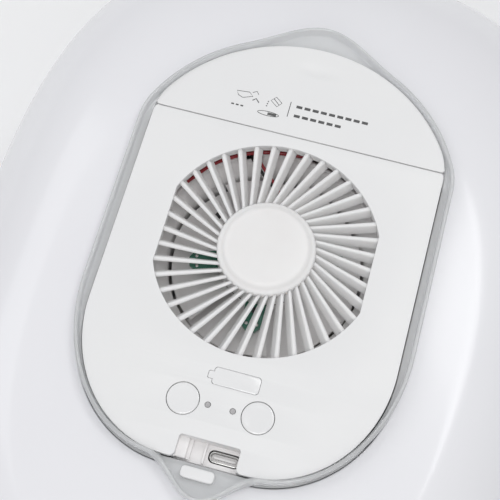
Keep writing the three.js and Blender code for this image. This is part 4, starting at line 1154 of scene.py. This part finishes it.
def make_cell():
    half = cell_high.x - 0.4 - 0.6
    wrap = lying([(5.6, -half), (CELL_R - 0.5, -half - 0.1), (CELL_R - 0.1, -half + 0.2),
                  (CELL_R, -half + 0.7), (CELL_R, half - 1.9), (CELL_R - 0.25, half - 1.6),
                  (CELL_R - 0.25, half - 1.1), (CELL_R, half - 0.8), (CELL_R - 0.1, half - 0.2),
                  (CELL_R - 0.5, half), (5.6, half)])
    ends = lying([(0, -half - 0.5), (2.6, -half - 0.5), (2.9, -half - 0.2), (5.5, -half - 0.1),
                  (5.55, -half + 0.5), (5.55, half - 0.4), (5.3, half + 0.05), (3.0, half + 0.1),
                  (2.7, half + 0.6), (0, half + 0.6)])
    return wrap, ends


def make_cradle():
    low, high = box_mm("battery_cradle")
    side = CELL_R + 0.3
    wall = 1.4
    bed = plate(rounded_box(low.x, high.x, low.y, high.y, 1.2), low.z, high.z, 0.3)
    inner = high.x - wall
    trough = lying([(0, -inner), (side, -inner), (side, inner), (0, inner)], 96)
    return cut(bed, trough, slab(-inner, inner, CELL_Y - side, CELL_Y + side, CELL_Z - 0.1, CELL_Z + 20,
                                 0.1), sharp=40)


def make_contact(node):
    low, high = box_mm(node)
    side = 1 if low.x > 0 else -1
    leaf = plate(rounded_box(low.y, high.y, low.z, high.z, 0.8), 0, high.x - low.x, 0.08)
    leaf.transform(Matrix(((0, 0, 1, low.x * MM), (1, 0, 0, 0), (0, 1, 0, 0), (0, 0, 0, 1))))
    return leaf


wrap, ends = make_cell()
piece("cell_wrap", wrap, "head", "red_wrap", RED, "battery_cell")
piece("cell_can", ends, "head", "steel", STEEL)
piece("cradle_body", make_cradle(), "head", "white_plastic", INNER, "battery_cradle")
piece("contact_leaf_plus", make_contact("contact_plus"), "head", "steel", STEEL, "contact_plus")
piece("contact_leaf_minus", make_contact("contact_minus"), "head", "steel", STEEL, "contact_minus")


# ---------- Leads ----------
SHROUD_TOP = box_mm("fan_shroud")[1].z
BOARD_BOTTOM = board_low.z
BOARD_TOP = board_high.z
LEAD_X = PANEL_HALF - 2.3
HALF_CELL = 25.0


def polar(radius, degrees, z):
    return (radius * math.cos(math.radians(degrees)), radius * math.sin(math.radians(degrees)), z)


def black_route():
    z = CELL_Z + 5.6
    return [(-HALF_CELL - 0.9, CELL_Y - 3, z), (11.3 - LEAD_X, CELL_Y - 9, z - 1),
            (2.3 - LEAD_X, CELL_Y - 12, z - 5), (-LEAD_X, 28, BOARD_BOTTOM - 4),
            (-LEAD_X, 0, BOARD_BOTTOM - 4), (-LEAD_X, -32, BOARD_BOTTOM - 4),
            (3.8 - LEAD_X, -40, BOARD_BOTTOM - 3.6), (-31, -44, BOARD_BOTTOM - 2.4),
            (-24, -45, BOARD_BOTTOM - 1)]


def red_route():
    over = SHROUD_TOP + 1.3
    points = [(HALF_CELL + 0.9, CELL_Y - 3, CELL_Z + 5.6), (HALF_CELL + 2.2, CELL_Y - 6.4, over),
              (HALF_CELL - 2, SEAM_Y + 0.4, over), (14, SEAM_Y - 0.6, over), (4, SEAM_Y - 2.2, over)]
    points += [polar(MOUTH + 0.7, a, over) for a in (100, 112, 124, 136, 150)]
    return points + [(-36.6, 12, over - 0.2), (3 - LEAD_X, 4, over - 1), (-LEAD_X, -6, BOARD_TOP - 1),
                     (-LEAD_X, -32, BOARD_TOP - 1.4), (4 - LEAD_X, -40, BOARD_TOP),
                     (-34, -42.5, BOARD_TOP + 1.4), (-29, -43, BOARD_TOP + 1.1)]


def motor_route(shift):
    outside = MOUTH + 1.4 + 0.5 + 1.4 + (1.8 if shift > 0 else 0)
    spread = math.degrees(shift * 0.9 / MOUTH)
    low = BOARD_BOTTOM - 0.9
    points = [polar(ARM_TIP - 4, 94 - 2.6 * spread, motor_high.z + 0.7),
              polar(ARM_TIP, 98 - spread, motor_high.z + 1.2),
              polar(MOUTH - 4.6, 107 - spread, SHROUD_TOP - 1),
              polar(MOUTH - 0.6, 110.4 - spread, SHROUD_TOP - 1.1),
              polar(MOUTH + 2.3, 112 - spread, SHROUD_TOP - 1.4)]
    points += [polar(outside, a - spread, low) for a in (122, 140, 160, 180, 200)]
    return points + [polar(outside + 1, 216 - spread, low - 0.4), (-26 - shift * 0.9, -36, low - 0.6),
                     (-19 - shift * 0.9, -41, low)]


for name, route, radius, finish, slot in (
    ("battery_lead_red", red_route(), 0.7, RED, "red_wrap"),
    ("battery_lead_black", black_route(), 0.7, WIRE, "black_wire"),
    ("motor_lead_red", motor_route(1), 0.5, RED, "red_wrap"),
    ("motor_lead_black", motor_route(-1), 0.5, WIRE, "black_wire"),
):
    piece(name + "_wire", tube(smooth_path(route, 10), radius, 14), "head", slot, finish, name)


# ---------- Wick ----------
FLUTES = 45


def make_wick():
    low, high = box_mm("wick_filter")
    outer, inner = high.x, 23.0
    rings = []

    def fluted(radius, z, depth):
        ring = []
        for a in np.linspace(0, 2 * np.pi, 360, endpoint=False):
            r = radius - depth * (0.5 + 0.5 * math.cos(FLUTES * a))
            ring.append((r * math.cos(a), r * math.sin(a), z))
        return ring

    rings.append(fluted(outer - 1.0, low.z, 0.3))
    for z in np.linspace(low.z + 0.8, high.z - 0.8, 20):
        rings.append(fluted(outer, z, 0.8))
    rings.append(fluted(outer - 1.0, high.z, 0.3))
    for outward, z, depth in ((1.0, high.z, 0.1), (0.3, high.z - 0.8, 0.3), (0.3, low.z + 0.8, 0.3),
                              (1.0, low.z, 0.1)):
        rings.append(fluted(inner + outward, z, depth))
    return skinned(rings, closed=True, sharp=60)


def make_cage():
    low, high = box_mm("wick_cage")
    inner, outer = 30.3, 31.7
    bands = ((outer + 2.4, high.z - 2, high.z), (outer, high.z - 6, high.z - 2.01),
             (outer, low.z, low.z + 6))
    parts = [chamfered_ring(inner, r, z0, z1, 0.3, 96) for r, z0, z1 in bands]
    for i in range(6):
        rib = slab(inner + 0.05, outer - 0.02, -1.5, 1.5, low.z + 5.8, high.z - 5.8, 0.25)
        parts.append(moved(rib, turn=60 * (i + 0.5)))
    return joined(*parts)


piece("wick_ring", make_wick(), "head", "wick_fibre", FIBRE, "wick_filter")
piece("cage_body", make_cage(), "head", "white_plastic", INNER, "wick_cage")


# ---------- Screws ----------
def make_screw(node):
    """A pan-head screw with a cross recess and turned grooves for its thread, along the node's own box."""
    low, high = box_mm(node)
    x, y = centre(node)
    head_down = not node.startswith("shroud")
    length = high.z - low.z
    r, shank, thick = (high.x - low.x) / 2, 1.1, 1.4
    profile = [(0, 0), (r * 0.6, 0), (r * 0.88, 0.18), (r, 0.6), (r, thick - 0.1), (r - 0.1, thick),
               (shank, thick)]
    z = thick + 0.4
    while z < length - 1.0:
        profile += [(shank, z), (shank * 0.78, z + 0.2)]
        z += 0.4
    profile += [(shank, length - 0.8), (0.4, length), (0, length)]
    screw = turned(profile, 28, sharp=30)
    for across, along, depth in ((1.4, 0.28, 0.7), (0.28, 1.4, 0.65)):
        bar = [(-across, -along), (across, -along), (across, along), (-across, along)]
        screw = cut(screw, plate(bar, -0.5, depth, 0.02), sharp=30)
    if not head_down:
        screw.transform(Matrix.Rotation(math.radians(180), 4, "X"))
    screw.transform(Matrix.Translation((x * MM, y * MM, (low.z if head_down else high.z) * MM)))
    return finish_mesh(screw, 30)


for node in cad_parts:
    if "_screw_" in node:
        piece(node + "_steel", make_screw(node), "head", "steel", STEEL, node)


# ---------- Floor, light and camera ----------
FLOOR_LEVEL = -0.15  # just under the feet


def make_floor():
    n, size = 24, 2400.0
    vertices = [(-size + 2 * size * i / n, -size + 2 * size * j / n, FLOOR_LEVEL)
                for j in range(n + 1) for i in range(n + 1)]
    faces = [(j * (n + 1) + i, j * (n + 1) + i + 1, (j + 1) * (n + 1) + i + 1, (j + 1) * (n + 1) + i)
             for j in range(n) for i in range(n)]
    return mesh_from(vertices, faces)


floor = bpy.data.objects.new("floor", make_floor())
bpy.context.scene.collection.objects.link(floor)
PAPER = material("pale_paper", grey(0.95), grey(0.94), 0.8, scale=3, fine=500, bump=0.02, reach=0.05)
floor.data.materials.append(PAPER)
floor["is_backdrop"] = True

scene = bpy.context.scene
world = bpy.data.worlds.new("studio")
world.use_nodes = True
world.node_tree.nodes["Background"].inputs["Color"].default_value = (0.97, 0.98, 1.0, 1)
world.node_tree.nodes["Background"].inputs["Strength"].default_value = 0.50
scene.world = world
scene.view_settings.view_transform = "Standard"


def area_light(name, place, aim, size, power, color=(1, 1, 1)):
    data = bpy.data.lights.new(name, "AREA")
    data.shape = "RECTANGLE"
    data.size, data.size_y = size[0] * MM, size[1] * MM
    data.energy = power
    data.color = color
    o = bpy.data.objects.new(name, data)
    scene.collection.objects.link(o)
    o.location = Vector(place) * MM
    o.rotation_euler = (Vector(place) - Vector(aim)).to_track_quat("Z", "Y").to_euler()
    return o


AIM = (0, 0, FACE)
area_light("softbox_top", (40, -230, 1400), AIM, (400, 400), 2.6)
area_light("softbox_rear", (380, 420, 1250), AIM, (520, 420), 2.6)
area_light("softbox_left", (-700, 250, 900), AIM, (700, 700), 1.8, (0.97, 0.98, 1.0))
area_light("softbox_front", (120, -700, 760), AIM, (600, 500), 1.2, (1.0, 0.985, 0.97))

camera_data = bpy.data.cameras.new("camera")
camera = bpy.data.objects.new("camera", camera_data)
scene.collection.objects.link(camera)
camera_data.sensor_width = 36
camera_data.lens = 82.73
camera_data.clip_start = 0.01
camera.location = Vector((28.6, -122.9, FACE + 321.1)) * MM
target = Vector((-4.6, -1.9, FACE)) * MM
camera.rotation_euler = (camera.location - target).to_track_quat("Z", "Y").to_euler()
scene.camera = camera

ends = [[list(map(float, corner)) for corner in pair] for pair in ((cad_low, cad_high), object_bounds())]
